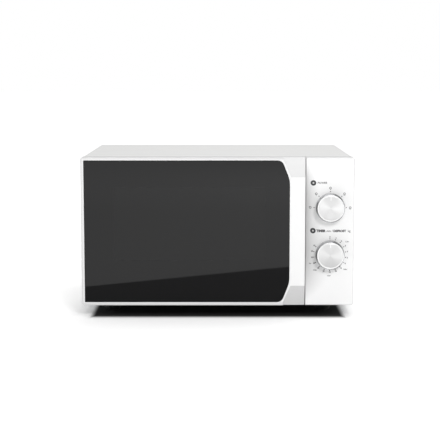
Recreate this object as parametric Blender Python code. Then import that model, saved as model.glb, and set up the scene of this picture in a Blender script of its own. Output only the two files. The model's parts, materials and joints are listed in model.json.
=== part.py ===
"""Countertop microwave oven with a mechanical timer, modelled as separate pieces.

Metres, +Z up, the door towards -Y, the control panel towards +X. The origin is at the centre
of the base of the whole object's box, on the surface that the feet stand on.
"""

import math

import bmesh
import bpy
from mathutils import Matrix, Vector

# ---- overall sizes
WIDTH = 0.440
CASE_HEIGHT = 0.240
CASE_DEPTH = 0.3125
FOOT_HEIGHT = 0.019
KNOB_PROUD = 0.0135
REAR_PROUD = 0.006

# ---- clearances
GAP = 0.0003           # between two pieces that touch
DOOR_GAP = 0.0015      # behind the closed door
SPLIT_GAP = 0.0012     # between the door and the control panel
PAST = 0.001           # how far a cutter runs past the face that it opens

# ---- sheet steel
SHEET = 0.0008
PLATE = 0.001
REAR_FLANGE = 0.012
PAN_FLANGE = 0.010
OUTER_RADIUS = 0.005
FRONT_RADIUS = 0.003

# ---- door
DOOR_THICKNESS = 0.024
DOOR_WIDTH = 0.3608
GLASS_THICKNESS = 0.0032
GLASS_RIM = 0.0052
STRIP_WIDTH = 0.0250
GLASS_SLANT_WIDTH = 0.0125
GLASS_SLANT_HEIGHT = 0.0320
FACET_DEPTH = 0.0040
FACET_HEIGHT = 0.0320
HINGE_INSET = 0.0075
HINGE_DEPTH = 0.0080
HINGE_HALF_WIDTH = 0.0045
HINGE_SHEET = 0.0015
HINGE_EDGE = 0.0030
PIN_RADIUS = 0.0025
PIN_LENGTH = 0.0100
DOOR_CHAMFER = 0.0025
POCKET_CLEARANCE = 0.0012   # above and below a hinge tab
SWING_CLEARANCE = 0.0018    # round a hinge tab, seen from above
HINGE_FLANGE = 0.018

# ---- choke behind the glass
CHOKE_SHEET = 0.001
CHOKE_START = 0.006
CHOKE_OVERLAP = 0.0095
CHOKE_OVERLAP_TOP = 0.0075
CHOKE_OVERLAP_RIGHT = 0.0125
GROOVE_WIDTH = 0.007
PAN_START = 0.0175
COVER_THICKNESS = 0.0018
CLEAR_THICKNESS = 0.001
CLEAR_INSET = 0.0120
LEDGE_INSET = 0.0080
LEDGE_LAP = 0.0040
SCREEN_THICKNESS = 0.0006
SCREEN_LAP = 0.005
WINDOW_WIDTH = 0.244
WINDOW_HEIGHT = 0.118
WINDOW_LIFT = 0.0535

# ---- cooking space
CAVITY_WIDTH = 0.306
CAVITY_HEIGHT = 0.205
CAVITY_DEPTH = 0.300
CAVITY_SIDE = 0.022
CAVITY_LIFT = 0.0205
MICROWAVE_WINDOW = (0.075, 0.050)
WINDOW_Z_SHARE = 0.55
MICA_LAP = 0.008
MICA_THICKNESS = 0.0005

# ---- turntable
PLATE_RADIUS = 0.1225
PLATE_THICKNESS = 0.004
PLATE_RIM = 0.0105
ROLLER_RADIUS = 0.0075
ROLLER_WIDTH = 0.007
ROLLER_TRACK = 0.095
RING_WIDTH = 0.008
RING_HEIGHT = 0.007
STUB_RADIUS = 0.0022
COLLAR_RADIUS = 0.0036
COLLAR_WIDTH = 0.0012
COUPLER_RADIUS = 0.010
COUPLER_LOBE = 0.006
COUPLER_HEIGHT = 0.0115
LUG_RADIUS = 0.0032
LUG_CIRCLE = 0.0145
LUG_HEIGHT = 0.006
SHAFT_RADIUS = 0.003
MOTOR_RADIUS = 0.0245
MOTOR_HEIGHT = 0.015
MOTOR_BUSH = 0.006

# ---- latch and door switches
LATCH_INSET = 0.0118
LATCH_WIDTH = 0.003
LATCH_TRAVEL = 0.004
LATCH_REACH = 0.016
CHANNEL_HALF_WIDTH = 0.0055
CHANNEL_START = 0.0095
BAR_START = 0.0125
BAR_DEPTH = 0.006
BAR_LOW, BAR_HIGH = 0.062, 0.208
UPPER_HOOK = (0.180, 0.200)
LOWER_HOOK = (0.067, 0.078)
HOOK_NECK = 0.008
SPRING_LENGTH = 0.021
SPRING_RADIUS = 0.0024
SPRING_WIRE = 0.0004
SPRING_TURNS = 6
SWITCH_SIZE = (0.0103, 0.0159, 0.0278)
SWITCH_STAND_OFF = 0.0022
PLUNGER_RADIUS = 0.0012
PLUNGER_LENGTH = 0.0052
PLUNGER_TRAVEL = 0.0012
PRIMARY_LOW, PRIMARY_PLUNGER = 0.1925, 0.1965
MONITOR_LOW, MONITOR_PLUNGER = 0.1640, 0.1860
SECONDARY_LOW, SECONDARY_PLUNGER = 0.0560, 0.0725
BRACKET_WALL = 0.002

# ---- control panel and knobs
PANEL_WALL = 0.0025
SCOOP_WIDTH = 0.026
SCOOP_DEPTH = 0.010
SCOOP_RISE = 0.002
SCOOP_LENGTH = 0.236
KNOB_RADIUS = 0.0235
KNOB_RIGHT = 0.0391
POWER_LIFT = 0.1591
TIMER_LIFT = 0.0828
KNOB_STAND_OFF = 0.001
KNOB_WALL = 0.0022
BUSH_RADIUS = 0.0045
SWITCH_BODY_START = 0.014
POWER_BODY = (0.046, 0.020, 0.046)
TIMER_BODY = (0.054, 0.026, 0.054)
BELL_RADIUS = 0.016
TAB_THICKNESS = 0.0008  # push-on terminals
TAB_LENGTH = 0.008

# ---- rear, feet and electrics
FOOT_RADIUS = 0.014
FOOT_INSET = 0.045
STUD_RADIUS = 0.004
GLAND_RADIUS = 0.008
CORD_HOLE = 0.0036
FAN_RADIUS = 0.042
FAN_BLADES = 5
FAN_VANE = 0.0018
FAN_VANE_HALF = math.radians(22)
FAN_TIP_GAP = 0.0035
FAN_WALL = 0.0015
FAN_ARM = 0.0018
SHROUD_SIDE = 0.102

# ---- places worked out from the sizes
OVERALL_DEPTH = KNOB_PROUD + DOOR_THICKNESS + DOOR_GAP + CASE_DEPTH + REAR_PROUD
FACE_Y = KNOB_PROUD - OVERALL_DEPTH / 2
DOOR_BACK_Y = FACE_Y + DOOR_THICKNESS
CASE_FRONT_Y = DOOR_BACK_Y + DOOR_GAP
CASE_BACK_Y = CASE_FRONT_Y + CASE_DEPTH
LEFT_X, RIGHT_X = -WIDTH / 2, WIDTH / 2
BOTTOM_Z = FOOT_HEIGHT
TOP_Z = FOOT_HEIGHT + CASE_HEIGHT
INNER_LEFT_X = LEFT_X + SHEET + GAP
INNER_RIGHT_X = RIGHT_X - SHEET - GAP
INNER_TOP_Z = TOP_Z - SHEET - GAP
BEHIND_PLATE_Y = CASE_FRONT_Y + PLATE + GAP
REAR_PANEL_Y = CASE_BACK_Y - 2 * SHEET - GAP

DOOR_RIGHT_X = LEFT_X + DOOR_WIDTH
PANEL_LEFT_X = DOOR_RIGHT_X + SPLIT_GAP
GLASS_RIGHT_X = DOOR_RIGHT_X - STRIP_WIDTH
HINGE_X = LEFT_X + HINGE_INSET
HINGE_Y = FACE_Y + HINGE_DEPTH

CAVITY_LEFT_X = LEFT_X + CAVITY_SIDE
CAVITY_RIGHT_X = CAVITY_LEFT_X + CAVITY_WIDTH
CAVITY_FLOOR_Z = BOTTOM_Z + CAVITY_LIFT
CAVITY_TOP_Z = CAVITY_FLOOR_Z + CAVITY_HEIGHT
CAVITY_BACK_Y = BEHIND_PLATE_Y + CAVITY_DEPTH
TABLE_X = (CAVITY_LEFT_X + CAVITY_RIGHT_X) / 2
TABLE_Y = BEHIND_PLATE_Y + CAVITY_DEPTH / 2
ROLLER_Z = CAVITY_FLOOR_Z + GAP + ROLLER_RADIUS
PLATE_Z = ROLLER_Z + ROLLER_RADIUS + GAP
ANTENNA_Z = CAVITY_FLOOR_Z + WINDOW_Z_SHARE * CAVITY_HEIGHT + 0.028
WINDOW_Z = CAVITY_FLOOR_Z + WINDOW_Z_SHARE * CAVITY_HEIGHT - 0.004

CHOKE_LEFT_X = CAVITY_LEFT_X - CHOKE_OVERLAP
CHOKE_RIGHT_X = CAVITY_RIGHT_X + CHOKE_OVERLAP_RIGHT
CHOKE_BOTTOM_Z = CAVITY_FLOOR_Z - CHOKE_OVERLAP
CHOKE_TOP_Z = CAVITY_TOP_Z + CHOKE_OVERLAP_TOP
CHOKE_BACK_Y = DOOR_BACK_Y - COVER_THICKNESS - GAP
PAN_Y = FACE_Y + PAN_START
LATCH_X = DOOR_RIGHT_X - LATCH_INSET
LATCH_TIP_Y = CASE_FRONT_Y + PLATE + LATCH_REACH
SWITCH_Y = LATCH_TIP_Y + GAP + SWITCH_STAND_OFF
COVER_RIGHT_X = LATCH_X + CHANNEL_HALF_WIDTH + GAP

KNOB_X = RIGHT_X - KNOB_RIGHT
POWER_Z = BOTTOM_Z + POWER_LIFT
TIMER_Z = BOTTOM_Z + TIMER_LIFT
SHROUD_Y = REAR_PANEL_Y - GAP
BAY_X = (CAVITY_RIGHT_X + RIGHT_X) / 2
GUIDE_DEPTH = 0.026
GUIDE_RIGHT_X = CAVITY_RIGHT_X + SHEET + GAP + GUIDE_DEPTH


# ---- shapes: each returns a closed bmesh

def block(low, high):
    """A box between two corners."""
    shape = bmesh.new()
    size = Vector(high) - Vector(low)
    middle = (Vector(high) + Vector(low)) / 2
    place = Matrix.Translation(middle) @ Matrix.Diagonal((*size, 1.0))
    bmesh.ops.create_cube(shape, size=1.0, matrix=place)
    return shape


def rod(start, end, radius, sides=24):
    """A cylinder between two points."""
    shape = bmesh.new()
    along = Vector(end) - Vector(start)
    turn = along.to_track_quat("Z", "Y").to_matrix().to_4x4()
    place = Matrix.Translation((Vector(start) + Vector(end)) / 2) @ turn
    bmesh.ops.create_cone(shape, cap_ends=True, segments=sides, radius1=radius,
                          radius2=radius, depth=along.length, matrix=place)
    return shape


def ellipsoid(middle, half_sizes, rings=12, sides=24):
    """A stretched sphere."""
    shape = bmesh.new()
    place = Matrix.Translation(middle) @ Matrix.Diagonal((*half_sizes, 1.0))
    bmesh.ops.create_uvsphere(shape, u_segments=sides, v_segments=rings, radius=1.0,
                              matrix=place)
    return shape


def lift(point, axis, level):
    """A point of an outline, raised to a level along the outline's axis."""
    first, second = point
    spots = {"X": (level, first, second), "Y": (first, level, second),
             "Z": (first, second, level)}
    return spots[axis]


def bridge(shape, rings, closed):
    """Quads between neighbouring rings of vertices."""
    count = len(rings[0])
    pairs = list(zip(rings, rings[1:]))
    if closed:
        pairs.append((rings[-1], rings[0]))
    for lower, upper in pairs:
        for i in range(count):
            j = (i + 1) % count
            shape.faces.new((lower[i], lower[j], upper[j], upper[i]))


def prism(outline, axis, start, end):
    """An outline pushed along an axis. The end may be a function of the outline's point."""
    shape = bmesh.new()
    reach = end if callable(end) else (lambda point: end)
    first = [shape.verts.new(lift(p, axis, start)) for p in outline]
    last = [shape.verts.new(lift(p, axis, reach(p))) for p in outline]
    bridge(shape, [first, last], closed=False)
    shape.faces.new(first)
    shape.faces.new(last)
    bmesh.ops.recalc_face_normals(shape, faces=shape.faces)
    return shape


def ring_prism(outer, inner, axis, start, end):
    """A plate with an opening: two outlines of the same number of points."""
    shape = bmesh.new()
    rings = []
    for outline, level in ((outer, start), (outer, end), (inner, end), (inner, start)):
        rings.append([shape.verts.new(lift(p, axis, level)) for p in outline])
    bridge(shape, rings, closed=True)
    bmesh.ops.recalc_face_normals(shape, faces=shape.faces)
    return shape


def turned(profile, middle, axis, sides=32, closed=False):
    """A profile of (radius, height) turned about an axis. A radius of 0 is one point."""
    shape = bmesh.new()
    rings = []
    for radius, height in profile:
        if radius == 0:
            spot = Vector(lift((0.0, 0.0), axis, height)) + Vector(middle)
            rings.append([shape.verts.new(spot)])
            continue
        ring = []
        for i in range(sides):
            angle = 2 * math.pi * i / sides
            flat = (radius * math.cos(angle), radius * math.sin(angle))
            ring.append(shape.verts.new(Vector(lift(flat, axis, height)) + Vector(middle)))
        rings.append(ring)
    pairs = list(zip(rings, rings[1:]))
    if closed:
        pairs.append((rings[-1], rings[0]))
    for lower, upper in pairs:
        for i in range(sides):
            j = (i + 1) % sides
            corners = [lower[i % len(lower)], lower[j % len(lower)],
                       upper[j % len(upper)], upper[i % len(upper)]]
            shape.faces.new(list(dict.fromkeys(corners)))
    bmesh.ops.recalc_face_normals(shape, faces=shape.faces)
    return shape


def coil(middle, radius, wire, low, high, turns, steps=8, sides=5):
    """A closed round wire wound about a vertical line."""
    shape = bmesh.new()
    rings = []
    count = turns * steps
    for i in range(count + 1):
        angle = 2 * math.pi * i / steps
        height = low + wire + (high - low - 2 * wire) * i / count
        outward = Vector((math.cos(angle), math.sin(angle), 0.0))
        spot = Vector(middle) + outward * radius + Vector((0.0, 0.0, height))
        ring = []
        for j in range(sides):
            around = 2 * math.pi * j / sides
            offset = outward * math.cos(around) + Vector((0.0, 0.0, math.sin(around)))
            ring.append(shape.verts.new(spot + offset * wire))
        rings.append(ring)
    bridge(shape, rings, closed=False)
    shape.faces.new(rings[0])
    shape.faces.new(rings[-1])
    bmesh.ops.recalc_face_normals(shape, faces=shape.faces)
    return shape


def together(shapes):
    """Several separate shapes held in one mesh."""
    joined = bmesh.new()
    for shape in shapes:
        held = bpy.data.meshes.new("held")
        shape.to_mesh(held)
        shape.free()
        joined.from_mesh(held)
        bpy.data.meshes.remove(held)
    return joined


# ---- outlines

def arc(middle, radius, start, end, steps):
    """Points along an arc, angles in degrees."""
    points = []
    for i in range(steps + 1):
        angle = math.radians(start + (end - start) * i / steps)
        points.append((middle[0] + radius * math.cos(angle),
                       middle[1] + radius * math.sin(angle)))
    return points


def rectangle(low, high, grow=0.0):
    """Four corners, counterclockwise, moved outwards by grow."""
    return [(low[0] - grow, low[1] - grow), (high[0] + grow, low[1] - grow),
            (high[0] + grow, high[1] + grow), (low[0] - grow, high[1] + grow)]


def rounded(low, high, radii, steps=4):
    """A rectangle whose corners, from the lower left counterclockwise, have these radii."""
    corners = [(low[0], low[1], 1, 1, 180), (high[0], low[1], -1, 1, 270),
               (high[0], high[1], -1, -1, 0), (low[0], high[1], 1, -1, 90)]
    points = []
    for (x, y, right, up, start), radius in zip(corners, radii):
        if radius == 0:
            points.append((x, y))
            continue
        middle = (x + right * radius, y + up * radius)
        points.extend(arc(middle, radius, start, start + 90, steps))
    return points


def glass_outline(grow=0.0):
    """The door glass: square on the left, with slanted corners on the right."""
    left = LEFT_X + GLASS_RIM - grow
    right = GLASS_RIGHT_X + grow
    low = BOTTOM_Z + GLASS_RIM - grow
    high = TOP_Z - GLASS_RIM + grow
    points = [(left, low)]
    for side in (-1, 1):
        edge = low if side < 0 else high
        corner = [(right - GLASS_SLANT_WIDTH, edge), (right, edge - side * GLASS_SLANT_HEIGHT)]
        start, end = (corner[0], corner[1]) if side < 0 else (corner[1], corner[0])
        before = (left, edge) if side < 0 else (right, low + GLASS_SLANT_HEIGHT)
        after = (right, high - GLASS_SLANT_HEIGHT) if side < 0 else (left, edge)
        points.extend(softened(before, start, end, 0.008))
        points.extend(softened(start, end, after, 0.008))
    points.append((left, high))
    return points


def softened(before, corner, after, reach, steps=4):
    """A corner rounded by a curve that starts and ends at a distance from it."""
    spot = Vector(corner)
    enter = spot + (Vector(before) - spot).normalized() * reach
    leave = spot + (Vector(after) - spot).normalized() * reach
    points = []
    for i in range(steps + 1):
        t = i / steps
        point = enter * (1 - t) ** 2 + spot * 2 * t * (1 - t) + leave * t ** 2
        points.append((point.x, point.y))
    return points


# ---- objects

def material(name, colour, roughness, metallic=0.0):
    """A Principled material."""
    made = bpy.data.materials.new(name)
    made.use_nodes = True
    shader = made.node_tree.nodes["Principled BSDF"]
    shader.inputs["Base Color"].default_value = (*colour, 1.0)
    shader.inputs["Roughness"].default_value = roughness
    shader.inputs["Metallic"].default_value = metallic
    return made


def hold(name, shape):
    """An object made from a bmesh, in the scene."""
    mesh = bpy.data.meshes.new(name)
    shape.to_mesh(mesh)
    shape.free()
    made = bpy.data.objects.new(name, mesh)
    bpy.context.scene.collection.objects.link(made)
    return made


def helper(name, shape):
    """An operand of a Boolean, left out of renders."""
    made = hold(name, shape)
    made.hide_render = True
    made.display_type = "WIRE"
    return made


def combine(target, operation, operand):
    """A live Boolean on the target."""
    modifier = target.modifiers.new(operand.name, "BOOLEAN")
    modifier.operation = operation
    modifier.solver = "EXACT"
    modifier.object = operand


def piece(name, finish, shape, add=(), cut=(), pivot=None, smooth=False):
    """One node: a shape, what is joined to it, what is cut from it, and its joint's axis."""
    made = hold(name, shape)
    made.data.materials.append(finish)
    if smooth:
        made.data.shade_smooth()
        made.data.set_sharp_from_angle(angle=math.radians(35))
    for number, extra in enumerate(add):
        combine(made, "UNION", helper(f"{name}_join_{number}", extra))
    for number, tool in enumerate(cut):
        combine(made, "DIFFERENCE", helper(f"{name}_cut_{number}", tool))
    if pivot:
        made.data.transform(Matrix.Translation(-Vector(pivot)))
        made.location = pivot
    return made


# ---- materials

def white_case_paint():
    return material("white_case_paint", (0.80, 0.80, 0.81), 0.35)


def white_plastic():
    return material("white_plastic", (0.86, 0.86, 0.87), 0.22)


def black_glass():
    return material("black_glass", (0.022, 0.022, 0.023), 0.04)


def zinc_steel():
    return material("zinc_steel", (0.56, 0.57, 0.58), 0.42, 1.0)


def cavity_enamel():
    return material("cavity_enamel", (0.62, 0.62, 0.60), 0.30)


def black_paint():
    return material("black_paint", (0.03, 0.03, 0.03), 0.45)


def black_rubber():
    return material("black_rubber", (0.02, 0.02, 0.02), 0.75)


def black_plastic():
    return material("black_plastic", (0.03, 0.03, 0.032), 0.40)


def clear_film():
    return material("clear_film", (0.75, 0.77, 0.78), 0.08)


def table_glass():
    return material("table_glass", (0.78, 0.84, 0.83), 0.05)


def nylon():
    return material("nylon", (0.78, 0.77, 0.72), 0.45)


def mica():
    return material("mica", (0.55, 0.50, 0.42), 0.50)


def knob_plastic():
    return material("knob_plastic", (0.84, 0.84, 0.85), 0.28)


def spring_steel():
    return material("spring_steel", (0.50, 0.50, 0.51), 0.30, 1.0)


def plated_steel():
    return material("plated_steel", (0.70, 0.70, 0.71), 0.25, 1.0)


def switch_plastic():
    return material("switch_plastic", (0.16, 0.03, 0.03), 0.45)


def aluminium():
    return material("aluminium", (0.77, 0.77, 0.78), 0.35, 1.0)


def lamination_steel():
    return material("lamination_steel", (0.16, 0.16, 0.17), 0.50, 0.6)


def winding_varnish():
    return material("winding_varnish", (0.48, 0.17, 0.05), 0.35)


def circuit_board():
    return material("circuit_board", (0.30, 0.20, 0.08), 0.55)


def lamp_glass():
    return material("lamp_glass", (0.85, 0.85, 0.80), 0.10)


# ---- case

def outer_case():
    """Steel wrap: top and two sides, with a flange turned in at the rear."""
    outline = rounded((LEFT_X, BOTTOM_Z), (RIGHT_X, TOP_Z), (0, 0, OUTER_RADIUS, OUTER_RADIUS))
    inside = rounded((LEFT_X + SHEET, BOTTOM_Z - PAST), (RIGHT_X - SHEET, TOP_Z - SHEET),
                     (0, 0, OUTER_RADIUS - SHEET, OUTER_RADIUS - SHEET))
    hollow = prism(inside, "Y", CASE_FRONT_Y - PAST, CASE_BACK_Y - SHEET)
    opening = block((LEFT_X + REAR_FLANGE, CASE_BACK_Y - 2 * SHEET, BOTTOM_Z - PAST),
                    (RIGHT_X - REAR_FLANGE, CASE_BACK_Y + PAST, TOP_Z - REAR_FLANGE))
    piece("outer_case", white_case_paint(), prism(outline, "Y", CASE_FRONT_Y, CASE_BACK_Y),
          cut=[hollow, opening, together(side_vents())], smooth=True)


def inner_section():
    """The outline that fits inside the wrap, seen from the front."""
    radius = OUTER_RADIUS - SHEET - GAP
    return rounded((INNER_LEFT_X, BOTTOM_Z), (INNER_RIGHT_X, INNER_TOP_Z), (0, 0, radius, radius))


def side_vents():
    """Slots through the case's sides: air in on the right, air out on the left."""
    slots = []
    for x in (LEFT_X, RIGHT_X):
        for row in range(8):
            z = BOTTOM_Z + 0.060 + row * 0.009
            slots.append(block((x - 2 * SHEET, CASE_BACK_Y - 0.085, z),
                               (x + 2 * SHEET, CASE_BACK_Y - 0.035, z + 0.004)))
    return slots


def base_plate():
    """Floor pan with an upturned edge, vent slots and a hole for each foot."""
    low = (INNER_LEFT_X, BEHIND_PLATE_Y + HINGE_SHEET + GAP, BOTTOM_Z)
    high = (INNER_RIGHT_X, REAR_PANEL_Y - GAP, BOTTOM_Z + PAN_FLANGE)
    inside = block((low[0] + SHEET, low[1] + SHEET, BOTTOM_Z + SHEET),
                   (high[0] - SHEET, high[1] - SHEET, high[2] + PAST))
    holes = []
    for x, y in foot_spots():
        holes.append(rod((x, y, BOTTOM_Z - PAST), (x, y, BOTTOM_Z + 2 * SHEET),
                         STUD_RADIUS + GAP, sides=16))
    for row in range(6):
        y = TABLE_Y + 0.020 + row * 0.010
        holes.append(block((BAY_X - 0.030, y, BOTTOM_Z - PAST),
                           (BAY_X + 0.030, y + 0.004, BOTTOM_Z + 2 * SHEET)))
    piece("base_plate", zinc_steel(), block(low, high), cut=[inside, together(holes)])


def foot_spots():
    """The centres of the feet: front left, front right, rear left, rear right."""
    return [(x, y) for y in (CASE_FRONT_Y + FOOT_INSET, CASE_BACK_Y - FOOT_INSET)
            for x in (LEFT_X + FOOT_INSET, RIGHT_X - FOOT_INSET)]


def feet():
    names = ("foot_front_left", "foot_front_right", "foot_rear_left", "foot_rear_right")
    height = FOOT_HEIGHT - GAP
    profile = [(0, 0), (0.78 * FOOT_RADIUS, 0), (0.88 * FOOT_RADIUS, 0.0012),
               (FOOT_RADIUS, height), (STUD_RADIUS, height),
               (STUD_RADIUS, FOOT_HEIGHT + 0.006), (0, FOOT_HEIGHT + 0.006)]
    finish = black_rubber()
    for name, (x, y) in zip(names, foot_spots()):
        piece(name, finish, turned(profile, (x, y, 0), "Z", sides=24), smooth=True)


def rear_panel():
    """Flat rear cover with the fan's intake slots, a steam outlet and the cord's hole."""
    near, far = REAR_PANEL_Y - PAST, REAR_PANEL_Y + SHEET + PAST
    slots = []
    for row in range(9):
        z = fan_centre()[1] - 0.038 + row * 0.009
        half = 0.040 if 1 < row < 7 else 0.028
        slots.append(block((BAY_X - half, near, z), (BAY_X + half, far, z + 0.004)))
    for column in range(10):
        x = CAVITY_LEFT_X + 0.020 + column * 0.010
        slots.append(block((x, near, TOP_Z - 0.055), (x + 0.004, far, TOP_Z - 0.030)))
    x, z = gland_centre()
    slots.append(rod((x, near, z), (x, far, z), GLAND_RADIUS + GAP, sides=24))
    piece("rear_panel", zinc_steel(),
          prism(inner_section(), "Y", REAR_PANEL_Y, REAR_PANEL_Y + SHEET), cut=[together(slots)])


def gland_centre():
    return BAY_X + 0.020, BOTTOM_Z + 0.032


def cord_gland():
    """Grommet in the rear panel, with the hole that a mains cord passes through."""
    x, z = gland_centre()
    inner, outer = REAR_PANEL_Y - GAP, REAR_PANEL_Y + SHEET + GAP
    end = CASE_BACK_Y + REAR_PROUD
    lip = GLAND_RADIUS + 0.002
    profile = [(CORD_HOLE, inner - 0.006), (GLAND_RADIUS - 0.001, inner - 0.006),
               (lip, inner - 0.002), (lip, inner), (GLAND_RADIUS, inner),
               (GLAND_RADIUS, outer), (lip, outer), (lip, outer + 0.002),
               (GLAND_RADIUS - 0.002, end), (CORD_HOLE, end)]
    piece("cord_gland", black_rubber(), turned(profile, (x, 0, z), "Y", sides=20, closed=True),
          smooth=True)


# ---- cooking space

def front_plate():
    """Front frame of the oven, with the cavity's opening and the latch and hinge slots."""
    near, far = CASE_FRONT_Y - PAST, CASE_FRONT_Y + PLATE + PAST
    openings = [block((CAVITY_LEFT_X, near, CAVITY_FLOOR_Z), (CAVITY_RIGHT_X, far, CAVITY_TOP_Z))]
    openings += latch_slots(near, far)
    for z in hinge_levels():
        openings.append(block((HINGE_X - HINGE_HALF_WIDTH - GAP, near, z - 2 * GAP),
                              (HINGE_X + HINGE_HALF_WIDTH + GAP, far, z + HINGE_SHEET + 2 * GAP)))
    half = TIMER_BODY[0] / 2 + 0.003
    openings.append(block((KNOB_X - half, near, TIMER_Z - TIMER_BODY[2] / 2 - 0.003),
                          (KNOB_X + half, far, POWER_Z + POWER_BODY[2] / 2 + 0.003)))
    piece("front_plate", white_case_paint(),
          prism(inner_section(), "Y", CASE_FRONT_Y, CASE_FRONT_Y + PLATE), cut=[together(openings)])


def latch_slots(near, far):
    """Cutters that let the two latch hooks through, with room for their lift and swing."""
    slots = []
    for low, high in (UPPER_HOOK, LOWER_HOOK):
        slots.append(block((LATCH_X - 0.0035, near, low - 0.0015),
                           (LATCH_X + 0.0040, far, high + LATCH_TRAVEL + 0.0015)))
    return slots


def hinge_levels():
    """The undersides of the lower and the upper hinge tab."""
    return BOTTOM_Z + HINGE_EDGE, TOP_Z - HINGE_EDGE - HINGE_SHEET


def oven_cavity():
    """Welded steel box, open at the front."""
    low = (CAVITY_LEFT_X - SHEET, BEHIND_PLATE_Y, CAVITY_FLOOR_Z - SHEET)
    high = (CAVITY_RIGHT_X + SHEET, CAVITY_BACK_Y + SHEET, CAVITY_TOP_Z + SHEET)
    inside = block((CAVITY_LEFT_X, BEHIND_PLATE_Y - PAST, CAVITY_FLOOR_Z),
                   (CAVITY_RIGHT_X, CAVITY_BACK_Y, CAVITY_TOP_Z))
    holes = [rod((TABLE_X, TABLE_Y, CAVITY_FLOOR_Z - 2 * SHEET),
                 (TABLE_X, TABLE_Y, CAVITY_FLOOR_Z + PAST), MOTOR_BUSH + 0.0025)]
    half_y, half_z = MICROWAVE_WINDOW[0] / 2, MICROWAVE_WINDOW[1] / 2
    near, far = CAVITY_RIGHT_X - PAST, CAVITY_RIGHT_X + SHEET + PAST
    holes.append(block((near, TABLE_Y - half_y, WINDOW_Z - half_z),
                       (far, TABLE_Y + half_y, WINDOW_Z + half_z)))
    holes += perforations(near, far, *lamp_centre(), columns=4, rows=3)
    holes += perforations(CAVITY_LEFT_X - SHEET - PAST, CAVITY_LEFT_X + PAST,
                          CAVITY_BACK_Y - 0.060, CAVITY_TOP_Z - 0.030, columns=6, rows=2)
    piece("oven_cavity", cavity_enamel(), block(low, high), cut=[inside, together(holes)])


def perforations(near, far, y, z, columns, rows, pitch=0.0065, radius=0.0022):
    """A grid of small holes through a side wall, about a centre."""
    holes = []
    for column in range(columns):
        for row in range(rows):
            spot_y = y + (column - (columns - 1) / 2) * pitch
            spot_z = z + (row - (rows - 1) / 2) * pitch
            holes.append(rod((near, spot_y, spot_z), (far, spot_y, spot_z), radius, sides=6))
    return holes


def lamp_centre():
    return BEHIND_PLATE_Y + 0.062, CAVITY_TOP_Z - 0.035


def mica_cover():
    """Sheet over the opening that the microwaves enter through."""
    half_y = MICROWAVE_WINDOW[0] / 2 + MICA_LAP
    half_z = MICROWAVE_WINDOW[1] / 2 + MICA_LAP
    right = CAVITY_RIGHT_X - GAP
    outline = rounded((TABLE_Y - half_y, WINDOW_Z - half_z), (TABLE_Y + half_y, WINDOW_Z + half_z),
                      (0.004,) * 4)
    piece("mica_cover", mica(), prism(outline, "X", right - MICA_THICKNESS, right))


def waveguide():
    """Sheet channel that leads from the magnetron's antenna down to the cavity's window."""
    left = CAVITY_RIGHT_X + SHEET + GAP
    low = (left, TABLE_Y - 0.045, WINDOW_Z - MICROWAVE_WINDOW[1] / 2 - 0.008)
    high = (GUIDE_RIGHT_X, TABLE_Y + 0.045, ANTENNA_Z + 0.032)
    inside = block((left - PAST, low[1] + SHEET, low[2] + SHEET),
                   (GUIDE_RIGHT_X - SHEET, high[1] - SHEET, high[2] - SHEET))
    hole = rod((GUIDE_RIGHT_X - 2 * SHEET, TABLE_Y, ANTENNA_Z),
               (GUIDE_RIGHT_X + PAST, TABLE_Y, ANTENNA_Z), 0.0105)
    piece("waveguide", zinc_steel(), block(low, high), cut=[inside, hole])


def oven_lamp():
    """Bulb on its cap, held by a bracket on the cavity's side wall."""
    y, z = lamp_centre()
    wall = CAVITY_RIGHT_X + SHEET + GAP
    bulb = [(0, wall + 0.004), (0.006, wall + 0.0055), (0.0098, wall + 0.010),
            (0.0110, wall + 0.016), (0.0095, wall + 0.023), (0.0068, wall + 0.028),
            (0.0068, wall + 0.042), (0, wall + 0.042)]
    bracket = block((wall + 0.030, y - 0.012, z - 0.012), (wall + 0.032, y + 0.012, z + 0.012))
    leg = block((wall, y + 0.0125, z - 0.012), (wall + 0.032, y + 0.0140, z + 0.012))
    joint = block((wall + 0.030, y + 0.0110, z - 0.012), (wall + 0.032, y + 0.0130, z + 0.012))
    piece("oven_lamp", lamp_glass(), turned(bulb, (0, y, z), "X", sides=20),
          add=[bracket, joint, leg], smooth=True)


# ---- turntable

def turntable_motor():
    """Flat synchronous motor under the cavity, with two ears and a bush."""
    low = BOTTOM_Z + SHEET + GAP
    top = low + MOTOR_HEIGHT
    can = rod((TABLE_X, TABLE_Y, low), (TABLE_X, TABLE_Y, top), MOTOR_RADIUS, sides=32)
    ears = prism(rounded((TABLE_X - 0.034, TABLE_Y - 0.006), (TABLE_X + 0.034, TABLE_Y + 0.006),
                         (0.005,) * 4), "Z", top - 0.0012, top + 0.0004)
    bush = rod((TABLE_X, TABLE_Y, top - PAST), (TABLE_X, TABLE_Y, CAVITY_FLOOR_Z + 0.0004),
               MOTOR_BUSH, sides=20)
    bore = rod((TABLE_X, TABLE_Y, low + 0.003), (TABLE_X, TABLE_Y, CAVITY_FLOOR_Z + PAST),
               SHAFT_RADIUS + GAP, sides=20)
    piece("turntable_motor", zinc_steel(), can, add=[ears, bush], cut=[bore], smooth=True)


def coupler_top():
    return CAVITY_FLOOR_Z + 0.001 + COUPLER_HEIGHT


def motor_shaft():
    """Output shaft, from inside the motor up into the coupler."""
    low = BOTTOM_Z + SHEET + GAP + 0.003 + GAP
    high = coupler_top() - 0.003 - GAP
    piece("motor_shaft", plated_steel(),
          rod((TABLE_X, TABLE_Y, low), (TABLE_X, TABLE_Y, high), SHAFT_RADIUS, sides=20),
          pivot=(TABLE_X, TABLE_Y, ROLLER_Z), smooth=True)


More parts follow.
